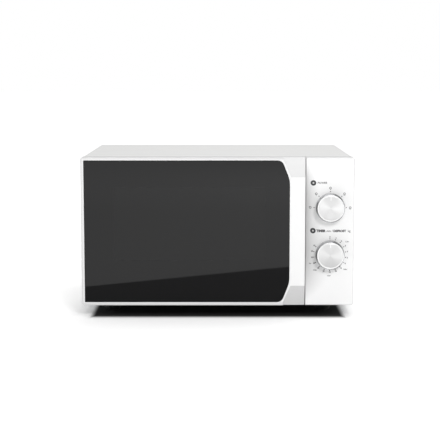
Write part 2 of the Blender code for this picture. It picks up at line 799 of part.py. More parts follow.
def turntable_coupler():
    """Three-lobed driver that turns the glass plate."""
    outline = []
    for i in range(36):
        angle = 2 * math.pi * i / 36
        radius = COUPLER_RADIUS + COUPLER_LOBE * math.cos(3 * angle)
        outline.append((TABLE_X + radius * math.cos(angle), TABLE_Y + radius * math.sin(angle)))
    low = CAVITY_FLOOR_Z + 0.001
    bore = rod((TABLE_X, TABLE_Y, low - PAST), (TABLE_X, TABLE_Y, coupler_top() - 0.003),
               SHAFT_RADIUS + GAP, sides=20)
    piece("turntable_coupler", nylon(), prism(outline, "Z", low, coupler_top()), cut=[bore],
          pivot=(TABLE_X, TABLE_Y, ROLLER_Z), smooth=True)


def turntable_plate():
    """Glass plate with a raised rim and three lugs that the coupler turns it by."""
    rim = PLATE_RADIUS
    profile = [(0, 0), (rim - 0.012, 0), (rim - 0.004, 0.0035), (rim, PLATE_RIM - 0.0025),
               (rim - 0.0008, PLATE_RIM), (rim - 0.0030, PLATE_RIM - 0.0006),
               (rim - 0.0060, 0.0070), (rim - 0.0135, PLATE_THICKNESS), (0, PLATE_THICKNESS)]
    lugs = []
    for i in range(3):
        angle = math.radians(60 + 120 * i)
        x = TABLE_X + LUG_CIRCLE * math.cos(angle)
        y = TABLE_Y + LUG_CIRCLE * math.sin(angle)
        lugs.append(rod((x, y, PLATE_Z - LUG_HEIGHT), (x, y, PLATE_Z + PAST), LUG_RADIUS, sides=12))
    piece("turntable_plate", table_glass(),
          turned(profile, (TABLE_X, TABLE_Y, PLATE_Z), "Z", sides=48), add=[together(lugs)],
          pivot=(TABLE_X, TABLE_Y, ROLLER_Z), smooth=True)


def roller_angles():
    return [math.radians(90 + 120 * i) for i in range(3)]


def roller_ring():
    """Ring that carries the three rollers on stub axles."""
    outer = ROLLER_TRACK - ROLLER_WIDTH / 2 - 0.0012
    inner = outer - RING_WIDTH
    half = RING_HEIGHT / 2
    profile = [(inner, -half), (outer, -half), (outer, half), (inner, half)]
    end = ROLLER_TRACK + ROLLER_WIDTH / 2 + GAP + COLLAR_WIDTH
    stubs = []
    for angle in roller_angles():
        stubs.append(radial_rod(angle, outer - 0.002, end - COLLAR_WIDTH / 2, STUB_RADIUS))
    collars = [radial_rod(angle, end - COLLAR_WIDTH, end, COLLAR_RADIUS)
               for angle in roller_angles()]
    piece("roller_ring", nylon(),
          turned(profile, (TABLE_X, TABLE_Y, ROLLER_Z), "Z", sides=36, closed=True),
          add=[together(stubs), together(collars)], pivot=(TABLE_X, TABLE_Y, ROLLER_Z), smooth=True)


def radial_rod(angle, start, end, radius):
    """A rod that points away from the turntable's axis at the rollers' height."""
    outward = Vector((math.cos(angle), math.sin(angle), 0.0))
    middle = Vector((TABLE_X, TABLE_Y, ROLLER_Z))
    return rod(middle + outward * start, middle + outward * end, radius, sides=12)


def rollers():
    finish = nylon()
    half = ROLLER_WIDTH / 2
    profile = [(STUB_RADIUS + GAP, -half), (ROLLER_RADIUS - 0.0006, -half),
               (ROLLER_RADIUS, -half + 0.0006), (ROLLER_RADIUS, half - 0.0006),
               (ROLLER_RADIUS - 0.0006, half), (STUB_RADIUS + GAP, half)]
    for number, angle in enumerate(roller_angles(), 1):
        outward = Vector((math.cos(angle), math.sin(angle), 0.0))
        shape = turned(profile, (0, 0, 0), "Z", sides=20, closed=True)
        turn = outward.to_track_quat("Z", "Y").to_matrix().to_4x4()
        bmesh.ops.transform(shape, matrix=turn, verts=shape.verts)
        made = piece(f"roller_{number}", finish, shape, smooth=True)
        made.location = Vector((TABLE_X, TABLE_Y, ROLLER_Z)) + outward * ROLLER_TRACK


# ---- door

def door_frame():
    """White moulded frame: it holds the glass, the choke, the latch and the hinge pins."""
    outline = rounded((LEFT_X, BOTTOM_Z), (DOOR_RIGHT_X, TOP_Z),
                      (FRONT_RADIUS, 0, 0, FRONT_RADIUS))
    recess = prism(glass_outline(GAP), "Y", FACE_Y - PAST, FACE_Y + GLASS_THICKNESS + GAP)
    ledge = block((CHOKE_LEFT_X + LEDGE_INSET, FACE_Y, CHOKE_BOTTOM_Z + LEDGE_INSET),
                  (GLASS_RIGHT_X - GLASS_SLANT_WIDTH - LEDGE_LAP, FACE_Y + CHOKE_START,
                   CHOKE_TOP_Z - LEDGE_INSET))
    well = block((CHOKE_LEFT_X - GAP, FACE_Y + CHOKE_START - GAP, CHOKE_BOTTOM_Z - GAP),
                 (CHOKE_RIGHT_X + GAP, DOOR_BACK_Y + PAST, CHOKE_TOP_Z + GAP))
    cover_seat = block((CHOKE_RIGHT_X - PAST, CHOKE_BACK_Y, CHOKE_BOTTOM_Z - GAP),
                       (COVER_RIGHT_X + GAP, DOOR_BACK_Y + PAST, CHOKE_TOP_Z + GAP))
    piece("door_frame", white_plastic(), prism(outline, "Y", FACE_Y, DOOR_BACK_Y),
          cut=[recess, ledge, well, cover_seat, latch_channel(), together(hinge_pockets()),
               together(pin_sockets()), together(grip_facets()), rear_chamfer()])


def latch_channel():
    return block((LATCH_X - CHANNEL_HALF_WIDTH, FACE_Y + CHANNEL_START, spring_foot() - GAP),
                 (LATCH_X + CHANNEL_HALF_WIDTH, DOOR_BACK_Y + PAST, BAR_HIGH + LATCH_TRAVEL + 0.003))


def spring_foot():
    return BAR_LOW - GAP - SPRING_LENGTH


def hinge_pockets():
    """Pockets that stay clear of the fixed hinge tabs as the door swings."""
    reach = HINGE_HALF_WIDTH + SWING_CLEARANCE
    pockets = []
    for z in hinge_levels():
        pockets.append(block((LEFT_X - PAST, HINGE_Y - reach, z - POCKET_CLEARANCE),
                             (HINGE_X + reach, DOOR_BACK_Y + PAST, z + HINGE_SHEET + POCKET_CLEARANCE)))
    return pockets


def pin_spans():
    """The lower and upper ends of the lower and the upper hinge pin."""
    lower, upper = hinge_levels()
    start = lower - POCKET_CLEARANCE + GAP
    end = upper + HINGE_SHEET + POCKET_CLEARANCE - GAP
    return (start, start + PIN_LENGTH), (end - PIN_LENGTH, end)


def pin_sockets():
    """Holes in the door frame that hold the hinge pins."""
    lower, upper = pin_spans()
    radius = PIN_RADIUS + GAP
    return [rod((HINGE_X, HINGE_Y, lower[0] + PAST), (HINGE_X, HINGE_Y, lower[1] + GAP),
                radius, sides=20),
            rod((HINGE_X, HINGE_Y, upper[0] - GAP), (HINGE_X, HINGE_Y, upper[1] - PAST),
                radius, sides=20)]


def grip_facets():
    """Wedges that slope the grip strip back towards the door's top and bottom edges."""
    wedges = []
    for side, edge in ((-1, BOTTOM_Z), (1, TOP_Z)):
        level = edge - side * FACET_HEIGHT
        glass_edge = edge - side * GLASS_RIM
        left_top = GLASS_RIGHT_X - GLASS_SLANT_WIDTH + GAP
        outline = [(GLASS_RIGHT_X + 0.002, level), (DOOR_RIGHT_X + PAST, level),
                   (DOOR_RIGHT_X + PAST, edge + side * PAST), (left_top + 0.002, edge + side * PAST),
                   (left_top + 0.002, glass_edge)]

        def slope(point, level=level, side=side):
            return FACE_Y + FACET_DEPTH * side * (point[1] - level) / FACET_HEIGHT

        wedges.append(prism(outline, "Y", FACE_Y - PAST, slope))
    return wedges


def rear_chamfer():
    """The long rear corner on the hinge side, taken off so that it clears the case."""
    outline = [(LEFT_X - PAST, DOOR_BACK_Y - DOOR_CHAMFER - PAST), (LEFT_X - PAST, DOOR_BACK_Y + PAST),
               (LEFT_X + DOOR_CHAMFER + PAST, DOOR_BACK_Y + PAST)]
    return prism(outline, "Z", BOTTOM_Z - PAST, TOP_Z + PAST)


def door_glass():
    piece("door_glass", black_glass(),
          prism(glass_outline(), "Y", FACE_Y, FACE_Y + GLASS_THICKNESS))


def choke_corners(inset):
    """The choke's outline, moved inwards."""
    return rectangle((CHOKE_LEFT_X, CHOKE_BOTTOM_Z), (CHOKE_RIGHT_X, CHOKE_TOP_Z), -inset)


def window_corners(grow=0.0):
    low_z = CAVITY_FLOOR_Z + WINDOW_LIFT
    return rectangle((TABLE_X - WINDOW_WIDTH / 2, low_z),
                     (TABLE_X + WINDOW_WIDTH / 2, low_z + WINDOW_HEIGHT), grow)


def door_choke_frame():
    """Pressed steel pan: a folded channel round the edge and a flat middle with the window."""
    front = FACE_Y + CHOKE_START
    hollow = GROOVE_WIDTH + 2 * CHOKE_SHEET
    groove = ring_prism(choke_corners(CHOKE_SHEET), choke_corners(CHOKE_SHEET + GROOVE_WIDTH), "Y",
                        front + CHOKE_SHEET, CHOKE_BACK_Y + PAST)
    before = prism(choke_corners(hollow), "Y", front - PAST, PAN_Y)
    after = prism(choke_corners(hollow), "Y", PAN_Y + CHOKE_SHEET, CHOKE_BACK_Y + PAST)
    window = prism(window_corners(), "Y", PAN_Y - PAST, PAN_Y + CHOKE_SHEET + PAST)
    piece("door_choke_frame", zinc_steel(), prism(choke_corners(0), "Y", front, CHOKE_BACK_Y),
          cut=[together([groove, before, after]), window])


def door_screen():
    """Plate that carries the window's perforation, in front of the choke's middle."""
    back = PAN_Y - GAP
    piece("door_screen", black_paint(),
          prism(window_corners(SCREEN_LAP), "Y", back - SCREEN_THICKNESS, back))


def door_inner_cover():
    """Clear sheet on the oven's side of the window."""
    piece("door_inner_cover", clear_film(),
          prism(choke_corners(CLEAR_INSET + GAP), "Y", DOOR_BACK_Y - CLEAR_THICKNESS, DOOR_BACK_Y))


def choke_cover():
    """Plastic ring over the choke's channel and the latch, on the oven's side of the door."""
    outer = rectangle((CHOKE_LEFT_X, CHOKE_BOTTOM_Z), (COVER_RIGHT_X, CHOKE_TOP_Z))
    near, far = DOOR_BACK_Y - COVER_THICKNESS, DOOR_BACK_Y
    piece("choke_cover", black_plastic(),
          ring_prism(outer, choke_corners(CLEAR_INSET), "Y", near, far),
          cut=[together(latch_slots(near - PAST, far + PAST))])


def hinges():
    """Two fixed tabs that reach forward through the front plate to the hinge pins."""
    finish = zinc_steel()
    outline = arc((HINGE_X, HINGE_Y), HINGE_HALF_WIDTH, 180, 360, 8)
    outline += [(HINGE_X + HINGE_HALF_WIDTH, BEHIND_PLATE_Y + PAST),
                (HINGE_X - HINGE_HALF_WIDTH, BEHIND_PLATE_Y + PAST)]
    for name, z, side in zip(("lower_hinge", "upper_hinge"), hinge_levels(), (1, -1)):
        levels = sorted((z + (HINGE_SHEET if side < 0 else 0), z + side * HINGE_FLANGE))
        flange = block((HINGE_X - HINGE_HALF_WIDTH, BEHIND_PLATE_Y, levels[0]),
                       (CAVITY_LEFT_X - SHEET - 2 * GAP, BEHIND_PLATE_Y + HINGE_SHEET, levels[1]))
        hole = rod((HINGE_X, HINGE_Y, z - PAST), (HINGE_X, HINGE_Y, z + HINGE_SHEET + PAST),
                   PIN_RADIUS + GAP, sides=20)
        piece(name, finish, prism(outline, "Z", z, z + HINGE_SHEET), add=[flange], cut=[hole])


def hinge_pins():
    finish = plated_steel()
    for name, (low, high) in zip(("lower_hinge_pin", "upper_hinge_pin"), pin_spans()):
        piece(name, finish, rod((HINGE_X, HINGE_Y, low), (HINGE_X, HINGE_Y, high), PIN_RADIUS,
                                sides=20), pivot=(HINGE_X, HINGE_Y, (low + high) / 2), smooth=True)


def latch_hook():
    """Sliding bar with two hooks that reach through the front plate to the switches."""
    left, right = LATCH_X - LATCH_WIDTH / 2, LATCH_X + LATCH_WIDTH / 2
    start = FACE_Y + BAR_START
    bar = block((left, start, BAR_LOW), (right, start + BAR_DEPTH, BAR_HIGH))
    necks, tips = [], []
    for low, high in (UPPER_HOOK, LOWER_HOOK):
        necks.append(block((left, start + BAR_DEPTH - PAST, high - HOOK_NECK),
                           (right, LATCH_TIP_Y - 0.004, high)))
        tips.append(prism([(LATCH_TIP_Y - 0.007, high), (LATCH_TIP_Y - 0.007, low),
                           (LATCH_TIP_Y - 0.002, low), (LATCH_TIP_Y, low + 0.003),
                           (LATCH_TIP_Y, high)], "X", left, right))
    piece("latch_hook", nylon(), bar, add=[together(necks), together(tips)])


def latch_spring():
    """Tension spring that pulls the hooks down."""
    middle = (LATCH_X, FACE_Y + BAR_START + BAR_DEPTH / 2, 0)
    piece("latch_spring", spring_steel(),
          coil(middle, SPRING_RADIUS, SPRING_WIRE, spring_foot(), BAR_LOW - GAP, SPRING_TURNS),
          smooth=True)


# ---- door switches

def door_switches():
    """Three snap switches behind the hooks, each with its plunger."""
    body, button = switch_plastic(), nylon()
    spans = (("primary", PRIMARY_LOW, PRIMARY_PLUNGER), ("monitor", MONITOR_LOW, MONITOR_PLUNGER),
             ("secondary", SECONDARY_LOW, SECONDARY_PLUNGER))
    width, depth, length = SWITCH_SIZE
    for name, low, plunger in spans:
        case = block((LATCH_X - width / 2, SWITCH_Y, low),
                     (LATCH_X + width / 2, SWITCH_Y + depth, low + length))
        bore = rod((LATCH_X, SWITCH_Y - PAST, plunger),
                   (LATCH_X, SWITCH_Y + PLUNGER_LENGTH + PLUNGER_TRAVEL, plunger),
                   PLUNGER_RADIUS + GAP, sides=12)
        tabs = [block((LATCH_X - 0.0032, SWITCH_Y + depth - PAST, low + place - 0.0003),
                      (LATCH_X + 0.0032, SWITCH_Y + depth + 0.0065, low + place + 0.0003))
                for place in (0.003, 0.013, 0.024)]
        piece(f"{name}_switch", body, case, add=[together(tabs)], cut=[bore])
        start = LATCH_TIP_Y + GAP
        piece(f"{name}_plunger", button,
              rod((LATCH_X, start, plunger), (LATCH_X, start + PLUNGER_LENGTH, plunger),
                  PLUNGER_RADIUS, sides=12), pivot=(LATCH_X, start, plunger), smooth=True)


def interlock_bracket():
    """Moulded holder behind the front plate, with a shelf on each side of every switch."""
    width, depth, length = SWITCH_SIZE
    wall = LATCH_X + width / 2 + GAP
    left = LATCH_X - width / 2 - GAP
    back = SWITCH_Y + depth
    low = SECONDARY_LOW - GAP - BRACKET_WALL
    high = PRIMARY_LOW + length + GAP + BRACKET_WALL
    side = block((wall, BEHIND_PLATE_Y, low), (wall + BRACKET_WALL, back, high))
    flange = block((left, BEHIND_PLATE_Y, low), (wall + PAST, BEHIND_PLATE_Y + BRACKET_WALL, high))
    shelves = []
    for edge in (low, SECONDARY_LOW + length + GAP, MONITOR_LOW - GAP - BRACKET_WALL, high - BRACKET_WALL):
        shelves.append(block((left, BEHIND_PLATE_Y + PAST, edge), (wall + PAST, back, edge + BRACKET_WALL)))
    slots = latch_slots(BEHIND_PLATE_Y - PAST, BEHIND_PLATE_Y + BRACKET_WALL + PAST)
    piece("interlock_bracket", nylon(), side, add=[flange, together(shelves)], cut=[together(slots)])


# ---- control panel

def control_panel():
    """White moulded panel, hollow behind, with a finger scoop along its left edge."""
    back = CASE_FRONT_Y - 2 * GAP
    outline = rounded((PANEL_LEFT_X, BOTTOM_Z), (RIGHT_X, TOP_Z), (0, FRONT_RADIUS, FRONT_RADIUS, 0))
    middle = (PANEL_LEFT_X, FACE_Y - SCOOP_RISE, BOTTOM_Z + CASE_HEIGHT / 2)
    sizes = (SCOOP_WIDTH, SCOOP_DEPTH, SCOOP_LENGTH / 2)
    hollow = helper("control_panel_hollow",
                    block((PANEL_LEFT_X + PANEL_WALL, FACE_Y + PANEL_WALL, BOTTOM_Z + PANEL_WALL),
                          (RIGHT_X - PANEL_WALL, back + PAST, TOP_Z - PANEL_WALL)))
    liner = helper("control_panel_liner",
                   ellipsoid(middle, [size + PANEL_WALL for size in sizes]))
    combine(hollow, "DIFFERENCE", liner)
    holes = [rod((KNOB_X, FACE_Y - PAST, z), (KNOB_X, FACE_Y + PANEL_WALL + PAST, z), BUSH_RADIUS + GAP)
             for z in (POWER_Z, TIMER_Z)]
    made = piece("control_panel", white_plastic(), prism(outline, "Y", FACE_Y, back),
                 cut=[ellipsoid(middle, sizes), together(holes)], smooth=True)
    combine(made, "DIFFERENCE", hollow)


def knobs():
    """Power and timer knobs: a shallow cup with a dished face and a boss for the shaft."""
    finish = knob_plastic()
    back = -KNOB_STAND_OFF
    wall = KNOB_RADIUS - KNOB_WALL
    boss = SHAFT_RADIUS + GAP + KNOB_WALL
    profile = [(0, -KNOB_PROUD + 0.0005), (KNOB_RADIUS - 0.0040, -KNOB_PROUD + 0.0005),
               (KNOB_RADIUS - 0.0034, -KNOB_PROUD), (KNOB_RADIUS - 0.0014, -KNOB_PROUD),
               (KNOB_RADIUS - 0.0004, -KNOB_PROUD + 0.0010), (KNOB_RADIUS, back),
               (wall, back), (wall - 0.0004, -KNOB_PROUD + KNOB_WALL + 0.0005),
               (boss, -KNOB_PROUD + KNOB_WALL + 0.0005), (boss, back - 0.0015),
               (SHAFT_RADIUS + GAP, back - 0.0015),
               (SHAFT_RADIUS + GAP, -KNOB_PROUD + KNOB_WALL + 0.0015),
               (0, -KNOB_PROUD + KNOB_WALL + 0.0015)]
    for name, z in (("power_knob", POWER_Z), ("timer_knob", TIMER_Z)):
        piece(name, finish, turned(profile, (KNOB_X, FACE_Y, z), "Y", sides=32),
              pivot=(KNOB_X, FACE_Y, z), smooth=True)


def shafts():
    """The two D-shaped control shafts."""
    finish = plated_steel()
    start = FACE_Y - KNOB_PROUD + KNOB_WALL + 0.0015 + GAP
    for name, z, depth in (("power_shaft", POWER_Z, POWER_BODY[1]),
                           ("timer_shaft", TIMER_Z, TIMER_BODY[1])):
        outline = arc((KNOB_X, z), SHAFT_RADIUS, -50, 230, 14)
        end = FACE_Y + SWITCH_BODY_START + depth - 0.004
        piece(name, finish, prism(outline, "Y", start, end), pivot=(KNOB_X, FACE_Y, z), smooth=True)


def control_body(name, finish, z, size, extra):
    """A rotary control behind the panel: a case, a threaded bush and a bore for the shaft."""
    width, depth, height = size
    front = FACE_Y + SWITCH_BODY_START
    outline = rounded((KNOB_X - width / 2, z - height / 2), (KNOB_X + width / 2, z + height / 2),
                      (0.004,) * 4, steps=2)
    bush = rod((KNOB_X, FACE_Y + 2 * GAP, z), (KNOB_X, front + PAST, z), BUSH_RADIUS)
    bore = rod((KNOB_X, FACE_Y - PAST, z), (KNOB_X, front + depth - 0.003, z), SHAFT_RADIUS + GAP,
               sides=20)
    piece(name, finish, prism(outline, "Y", front, front + depth), add=[bush] + extra, cut=[bore])


def rotary_controls():
    finish = nylon()
    width, depth, height = POWER_BODY
    back = FACE_Y + SWITCH_BODY_START + depth
    tabs = [block((KNOB_X + place, back - PAST, POWER_Z - 0.003),
                  (KNOB_X + place + TAB_THICKNESS, back + TAB_LENGTH, POWER_Z + 0.003))
            for place in (-0.016, -0.005, 0.006, 0.017)]
    control_body("power_switch", finish, POWER_Z, POWER_BODY, [together(tabs)])
    back = FACE_Y + SWITCH_BODY_START + TIMER_BODY[1]
    post = rod((KNOB_X, back - PAST, TIMER_Z), (KNOB_X, back + 0.012, TIMER_Z), 0.002, sides=12)
    control_body("timer", finish, TIMER_Z, TIMER_BODY, [post])


def timer_bell():
    """Domed gong on a post behind the timer."""
    back = FACE_Y + SWITCH_BODY_START + TIMER_BODY[1]
    inner = 0.002 + GAP
    profile = [(inner, 0.0110), (0.6 * BELL_RADIUS, 0.0095), (0.9 * BELL_RADIUS, 0.0060),
               (BELL_RADIUS, 0.0010), (BELL_RADIUS - 0.0008, 0.0010),
               (0.9 * BELL_RADIUS - 0.0010, 0.0054), (0.6 * BELL_RADIUS - 0.0004, 0.0086),
               (inner, 0.0100)]
    piece("timer_bell", plated_steel(), turned(profile, (KNOB_X, back, TIMER_Z), "Y", sides=20,
                                               closed=True),
          smooth=True)


# ---- electrics

def magnetron():
    """Yoke with cooling fins round the anode, the antenna and the filter box."""
    left = GUIDE_RIGHT_X + GAP
    right = left + 0.046
    low, high = ANTENNA_Z - 0.046, ANTENNA_Z + 0.046
    near, far = TABLE_Y - 0.040, TABLE_Y + 0.040
    yoke = block((left, near, low), (right, far, high))
    inside = block((left + 0.0016, near - PAST, low + 0.0016), (right - 0.0016, far + PAST, high - 0.0016))
    hollow = helper("magnetron_inside", inside)
    fins = [block((left + 0.010 + i * 0.0052, near + 0.004, low - PAST),
                  (left + 0.0106 + i * 0.0052, far - 0.004, high + PAST)) for i in range(5)]
    anode = rod((left - PAST, TABLE_Y, ANTENNA_Z), (right + PAST, TABLE_Y, ANTENNA_Z), 0.019, sides=20)
    kept = helper("magnetron_kept", together(fins))
    core = helper("magnetron_core", anode)
    combine(hollow, "DIFFERENCE", kept)
    combine(hollow, "DIFFERENCE", core)
    antenna = rod((left - 0.020, TABLE_Y, ANTENNA_Z), (left + PAST, TABLE_Y, ANTENNA_Z), 0.0085)
    box = block((right - PAST / 2, TABLE_Y - 0.030, ANTENNA_Z - 0.030),
                (right + 0.022, TABLE_Y + 0.030, ANTENNA_Z + 0.028))
    made = piece("magnetron", aluminium(), yoke)
    combine(made, "DIFFERENCE", hollow)
    combine(made, "UNION", helper("magnetron_antenna", antenna))
    combine(made, "UNION", helper("magnetron_filter_box", box))


TRANSFORMER_Y = CASE_FRONT_Y + 0.105
CORE_SIZE = (0.092, 0.050, 0.076)
CORE_WINDOW = (0.014, 0.048)
CORE_LEG = 0.030
WINDING_WRAP = 0.013
WINDING_HEIGHTS = (0.020, 0.025)


def core_low_z():
    return BOTTOM_Z + SHEET + GAP


def transformer_core():
    """Laminated core with a window on each side of the middle leg."""
    width, depth, height = CORE_SIZE
    low_z = core_low_z()
    body = block((BAY_X - width / 2, TRANSFORMER_Y - depth / 2, low_z),
                 (BAY_X + width / 2, TRANSFORMER_Y + depth / 2, low_z + height))
    openings = []
    bottom = low_z + (height - CORE_WINDOW[1]) / 2
    for side in (-1, 1):
        xs = sorted((side * CORE_LEG / 2, side * (CORE_LEG / 2 + CORE_WINDOW[0])))
        openings.append(block((BAY_X + xs[0], TRANSFORMER_Y - depth / 2 - PAST, bottom),
                              (BAY_X + xs[1], TRANSFORMER_Y + depth / 2 + PAST, bottom + CORE_WINDOW[1])))
    piece("transformer_core", lamination_steel(), body, cut=[together(openings)])


def transformer_windings():
    """The mains coil below and the high-voltage coil above, round the middle leg."""
    finish = winding_varnish()
    half_x, half_y = CORE_LEG / 2 + GAP, CORE_SIZE[1] / 2 + GAP
    wrap = min(WINDING_WRAP, CORE_WINDOW[0] - 2 * GAP)
    low = core_low_z() + (CORE_SIZE[2] - CORE_WINDOW[1]) / 2 + GAP
    for name, height in zip(("primary_winding", "secondary_winding"), WINDING_HEIGHTS):
        inner = rounded((BAY_X - half_x, TRANSFORMER_Y - half_y), (BAY_X + half_x, TRANSFORMER_Y + half_y),
                        (0.0002,) * 4, steps=3)
        outer = rounded((BAY_X - half_x - wrap, TRANSFORMER_Y - half_y - wrap),
                        (BAY_X + half_x + wrap, TRANSFORMER_Y + half_y + wrap), (0.010,) * 4, steps=3)
        piece(name, finish, ring_prism(outer, inner, "Z", low, low + height))
        low += height + 0.0015


CAPACITOR_Y = (CASE_FRONT_Y + 0.178, CASE_FRONT_Y + 0.258)
CAPACITOR_HALF = (0.026, 0.017)
CLAMP_SHEET = 0.0012


def oval(x, z, half_width, half_height, steps=8):
    """A stadium shape lying on its side."""
    straight = half_width - half_height
    return (arc((x + straight, z), half_height, -90, 90, steps)
            + arc((x - straight, z), half_height, 90, 270, steps))


def capacitor_centre_z():
    return BOTTOM_Z + SHEET + 2 * GAP + CLAMP_SHEET + CAPACITOR_HALF[1]


def capacitor():
    """High-voltage capacitor: an oval can with two terminals."""
    z = capacitor_centre_z()
    start, end = CAPACITOR_Y
    posts = [rod((BAY_X + x, start - TAB_LENGTH, z), (BAY_X + x, start + PAST, z), 0.003, sides=12)
             for x in (-0.011, 0.011)]
    piece("capacitor", aluminium(), prism(oval(BAY_X, z, *CAPACITOR_HALF), "Y", start, end),
          add=[together(posts)], smooth=True)


def capacitor_clamp():
    """Strap that holds the capacitor to the base."""
    z = capacitor_centre_z()
    start = (CAPACITOR_Y[0] + CAPACITOR_Y[1]) / 2 - 0.008
    inner = oval(BAY_X, z, CAPACITOR_HALF[0] + GAP, CAPACITOR_HALF[1] + GAP)
    outer = oval(BAY_X, z, CAPACITOR_HALF[0] + GAP + CLAMP_SHEET, CAPACITOR_HALF[1] + GAP + CLAMP_SHEET)
    low = z - CAPACITOR_HALF[1] - GAP - CLAMP_SHEET
    ear = block((BAY_X + CAPACITOR_HALF[0] - 0.014, start, low),
                (BAY_X + CAPACITOR_HALF[0] + 0.014, start + 0.016, low + CLAMP_SHEET))
    piece("capacitor_clamp", zinc_steel(), ring_prism(outer, inner, "Y", start, start + 0.016), add=[ear])


def diode():
    """High-voltage diode beside the capacitor, with its ring terminal on the base."""
    x = BAY_X + 0.040
    z = core_low_z()
    start = CAPACITOR_Y[0]
    body = rod((x, start - 0.024, z + 0.012), (x, start - 0.006, z + 0.012), 0.004, sides=16)
    lead = rod((x, start - 0.0065, z + 0.012), (x, start + 0.006, z + 0.012), 0.0008, sides=8)
    drop = block((x - 0.004, start + 0.005, z), (x + 0.004, start + 0.006, z + 0.015))
    ring = block((x - 0.004, start + 0.0052, z), (x + 0.004, start + 0.014, z + 0.001))
    piece("diode", black_plastic(), body, add=[lead, drop, ring], smooth=True)


def fan_centre():
    return BAY_X, BOTTOM_Z + 0.148


FAN_FRONT_Y = SHROUD_Y - 0.0215


def fan_shroud():
    """Square plate and ring round the fan, with a cross that carries the motor."""
    x, z = fan_centre()
    half = SHROUD_SIDE / 2
    ring = FAN_RADIUS + FAN_TIP_GAP
    plate = block((x - half, SHROUD_Y - 0.0015, z - half), (x + half, SHROUD_Y, z + half))
    wall = rod((x, FAN_FRONT_Y, z), (x, SHROUD_Y - PAST, z), ring + FAN_WALL, sides=40)
    hole = rod((x, FAN_FRONT_Y - PAST, z), (x, SHROUD_Y + PAST, z), ring, sides=40)
    arm_back = FAN_FRONT_Y + FAN_ARM
    reach = ring + FAN_WALL / 2
    arms = [block((x - reach, FAN_FRONT_Y, z - 0.004), (x + reach, arm_back, z + 0.004)),
            block((x - 0.004, FAN_FRONT_Y, z - reach), (x + 0.004, arm_back, z + reach))]
    disc = rod((x, FAN_FRONT_Y, z), (x, arm_back, z), 0.017)
    bore = rod((x, FAN_FRONT_Y - PAST, z), (x, FAN_FRONT_Y + 0.004, z), 0.006)
    made = piece("fan_shroud", black_plastic(), plate, add=[wall], cut=[hole])
    for number, extra in enumerate(arms + [disc]):
        combine(made, "UNION", helper(f"fan_shroud_arm_{number}", extra))
    combine(made, "DIFFERENCE", helper("fan_shroud_bore", bore))


def fan_motor():
    """Shaded-pole motor in front of the cross."""
    x, z = fan_centre()
    back = FAN_FRONT_Y - GAP
    stack = block((x - 0.026, back - 0.022, z - 0.034), (x + 0.026, back - 0.008, z + 0.020))
    caps = rod((x, back - 0.030, z), (x, back, z), 0.012, sides=20)
    winding = block((x - 0.013, back - 0.027, z - 0.032), (x + 0.013, back - 0.003, z - 0.016))
    bore = rod((x, back - 0.026, z), (x, back + PAST, z), 0.002 + GAP, sides=12)
    piece("fan_motor", lamination_steel(), stack, add=[caps, winding], cut=[bore])


def fan_blade():
    """Propeller on its shaft."""
    x, z = fan_centre()
    middle = Vector((x, 0, z))
    start, end = FAN_FRONT_Y + 0.004, SHROUD_Y - 0.003
    hub = rod((x, start, z), (x, end, z), 0.010, sides=20)
    shaft = rod((x, FAN_FRONT_Y - 0.022, z), (x, start + PAST, z), 0.002, sides=12)
    blades = [fan_vane(middle, 2 * math.pi * i / FAN_BLADES, start + 0.001, end - 0.001)
              for i in range(FAN_BLADES)]
    piece("fan_blade", black_plastic(), hub, add=[shaft] + blades, pivot=(x, start, z), smooth=True)


def fan_vane(middle, around, front, back):
    """One pitched vane: its leading edge at the front, its trailing edge at the back."""
    shape = bmesh.new()
    corners = []
    for radius, part in ((0.008, -1), (0.008, 1), (FAN_RADIUS, 1), (FAN_RADIUS, -1)):
        angle = around + part * FAN_VANE_HALF
        outward = Vector((math.cos(angle), 0, math.sin(angle))) * radius
        corners.append(middle + outward + Vector((0, front if part < 0 else back, 0)))
    thick = Vector((0, FAN_VANE / 2, 0))
    rings = [[shape.verts.new(c + side * thick) for c in corners] for side in (-1, 1)]
    # The vane is twisted, so both of its sides are split along the same diagonal.
    for a, b, c, d in rings:
        shape.faces.new((a, b, c))
        shape.faces.new((a, c, d))
    for i in range(4):
        j = (i + 1) % 4
        shape.faces.new((rings[0][i], rings[0][j], rings[1][j], rings[1][i]))
    bmesh.ops.recalc_face_normals(shape, faces=shape.faces)
    return shape


def noise_filter():
    """Filter board on the cavity's side wall: a choke coil, a capacitor and a fuse."""
    wall = CAVITY_RIGHT_X + SHEET + GAP
    y, z = TABLE_Y + 0.078, CAVITY_TOP_Z - 0.035
    board = block((wall + 0.005, y - 0.026, z - 0.028), (wall + 0.0066, y + 0.026, z + 0.028))
    posts = [rod((wall, y + across, z + up), (wall + 0.006, y + across, z + up), 0.0025, sides=10)
             for across in (-0.021, 0.021) for up in (-0.023, 0.023)]
    wound = [(0.004, wall + 0.006), (0.012, wall + 0.006),
             (0.012, wall + 0.017), (0.004, wall + 0.017)]
    toroid = turned(wound, (0, y - 0.010, z + 0.010), "X", sides=20, closed=True)
    box = block((wall + 0.006, y + 0.006, z - 0.004), (wall + 0.020, y + 0.022, z + 0.018))
    fuse = rod((wall + 0.0085, y - 0.018, z - 0.016), (wall + 0.0085, y + 0.014, z - 0.016),
               0.003, sides=12)
    piece("noise_filter", circuit_board(), board, add=[together(posts), toroid, box, fuse])


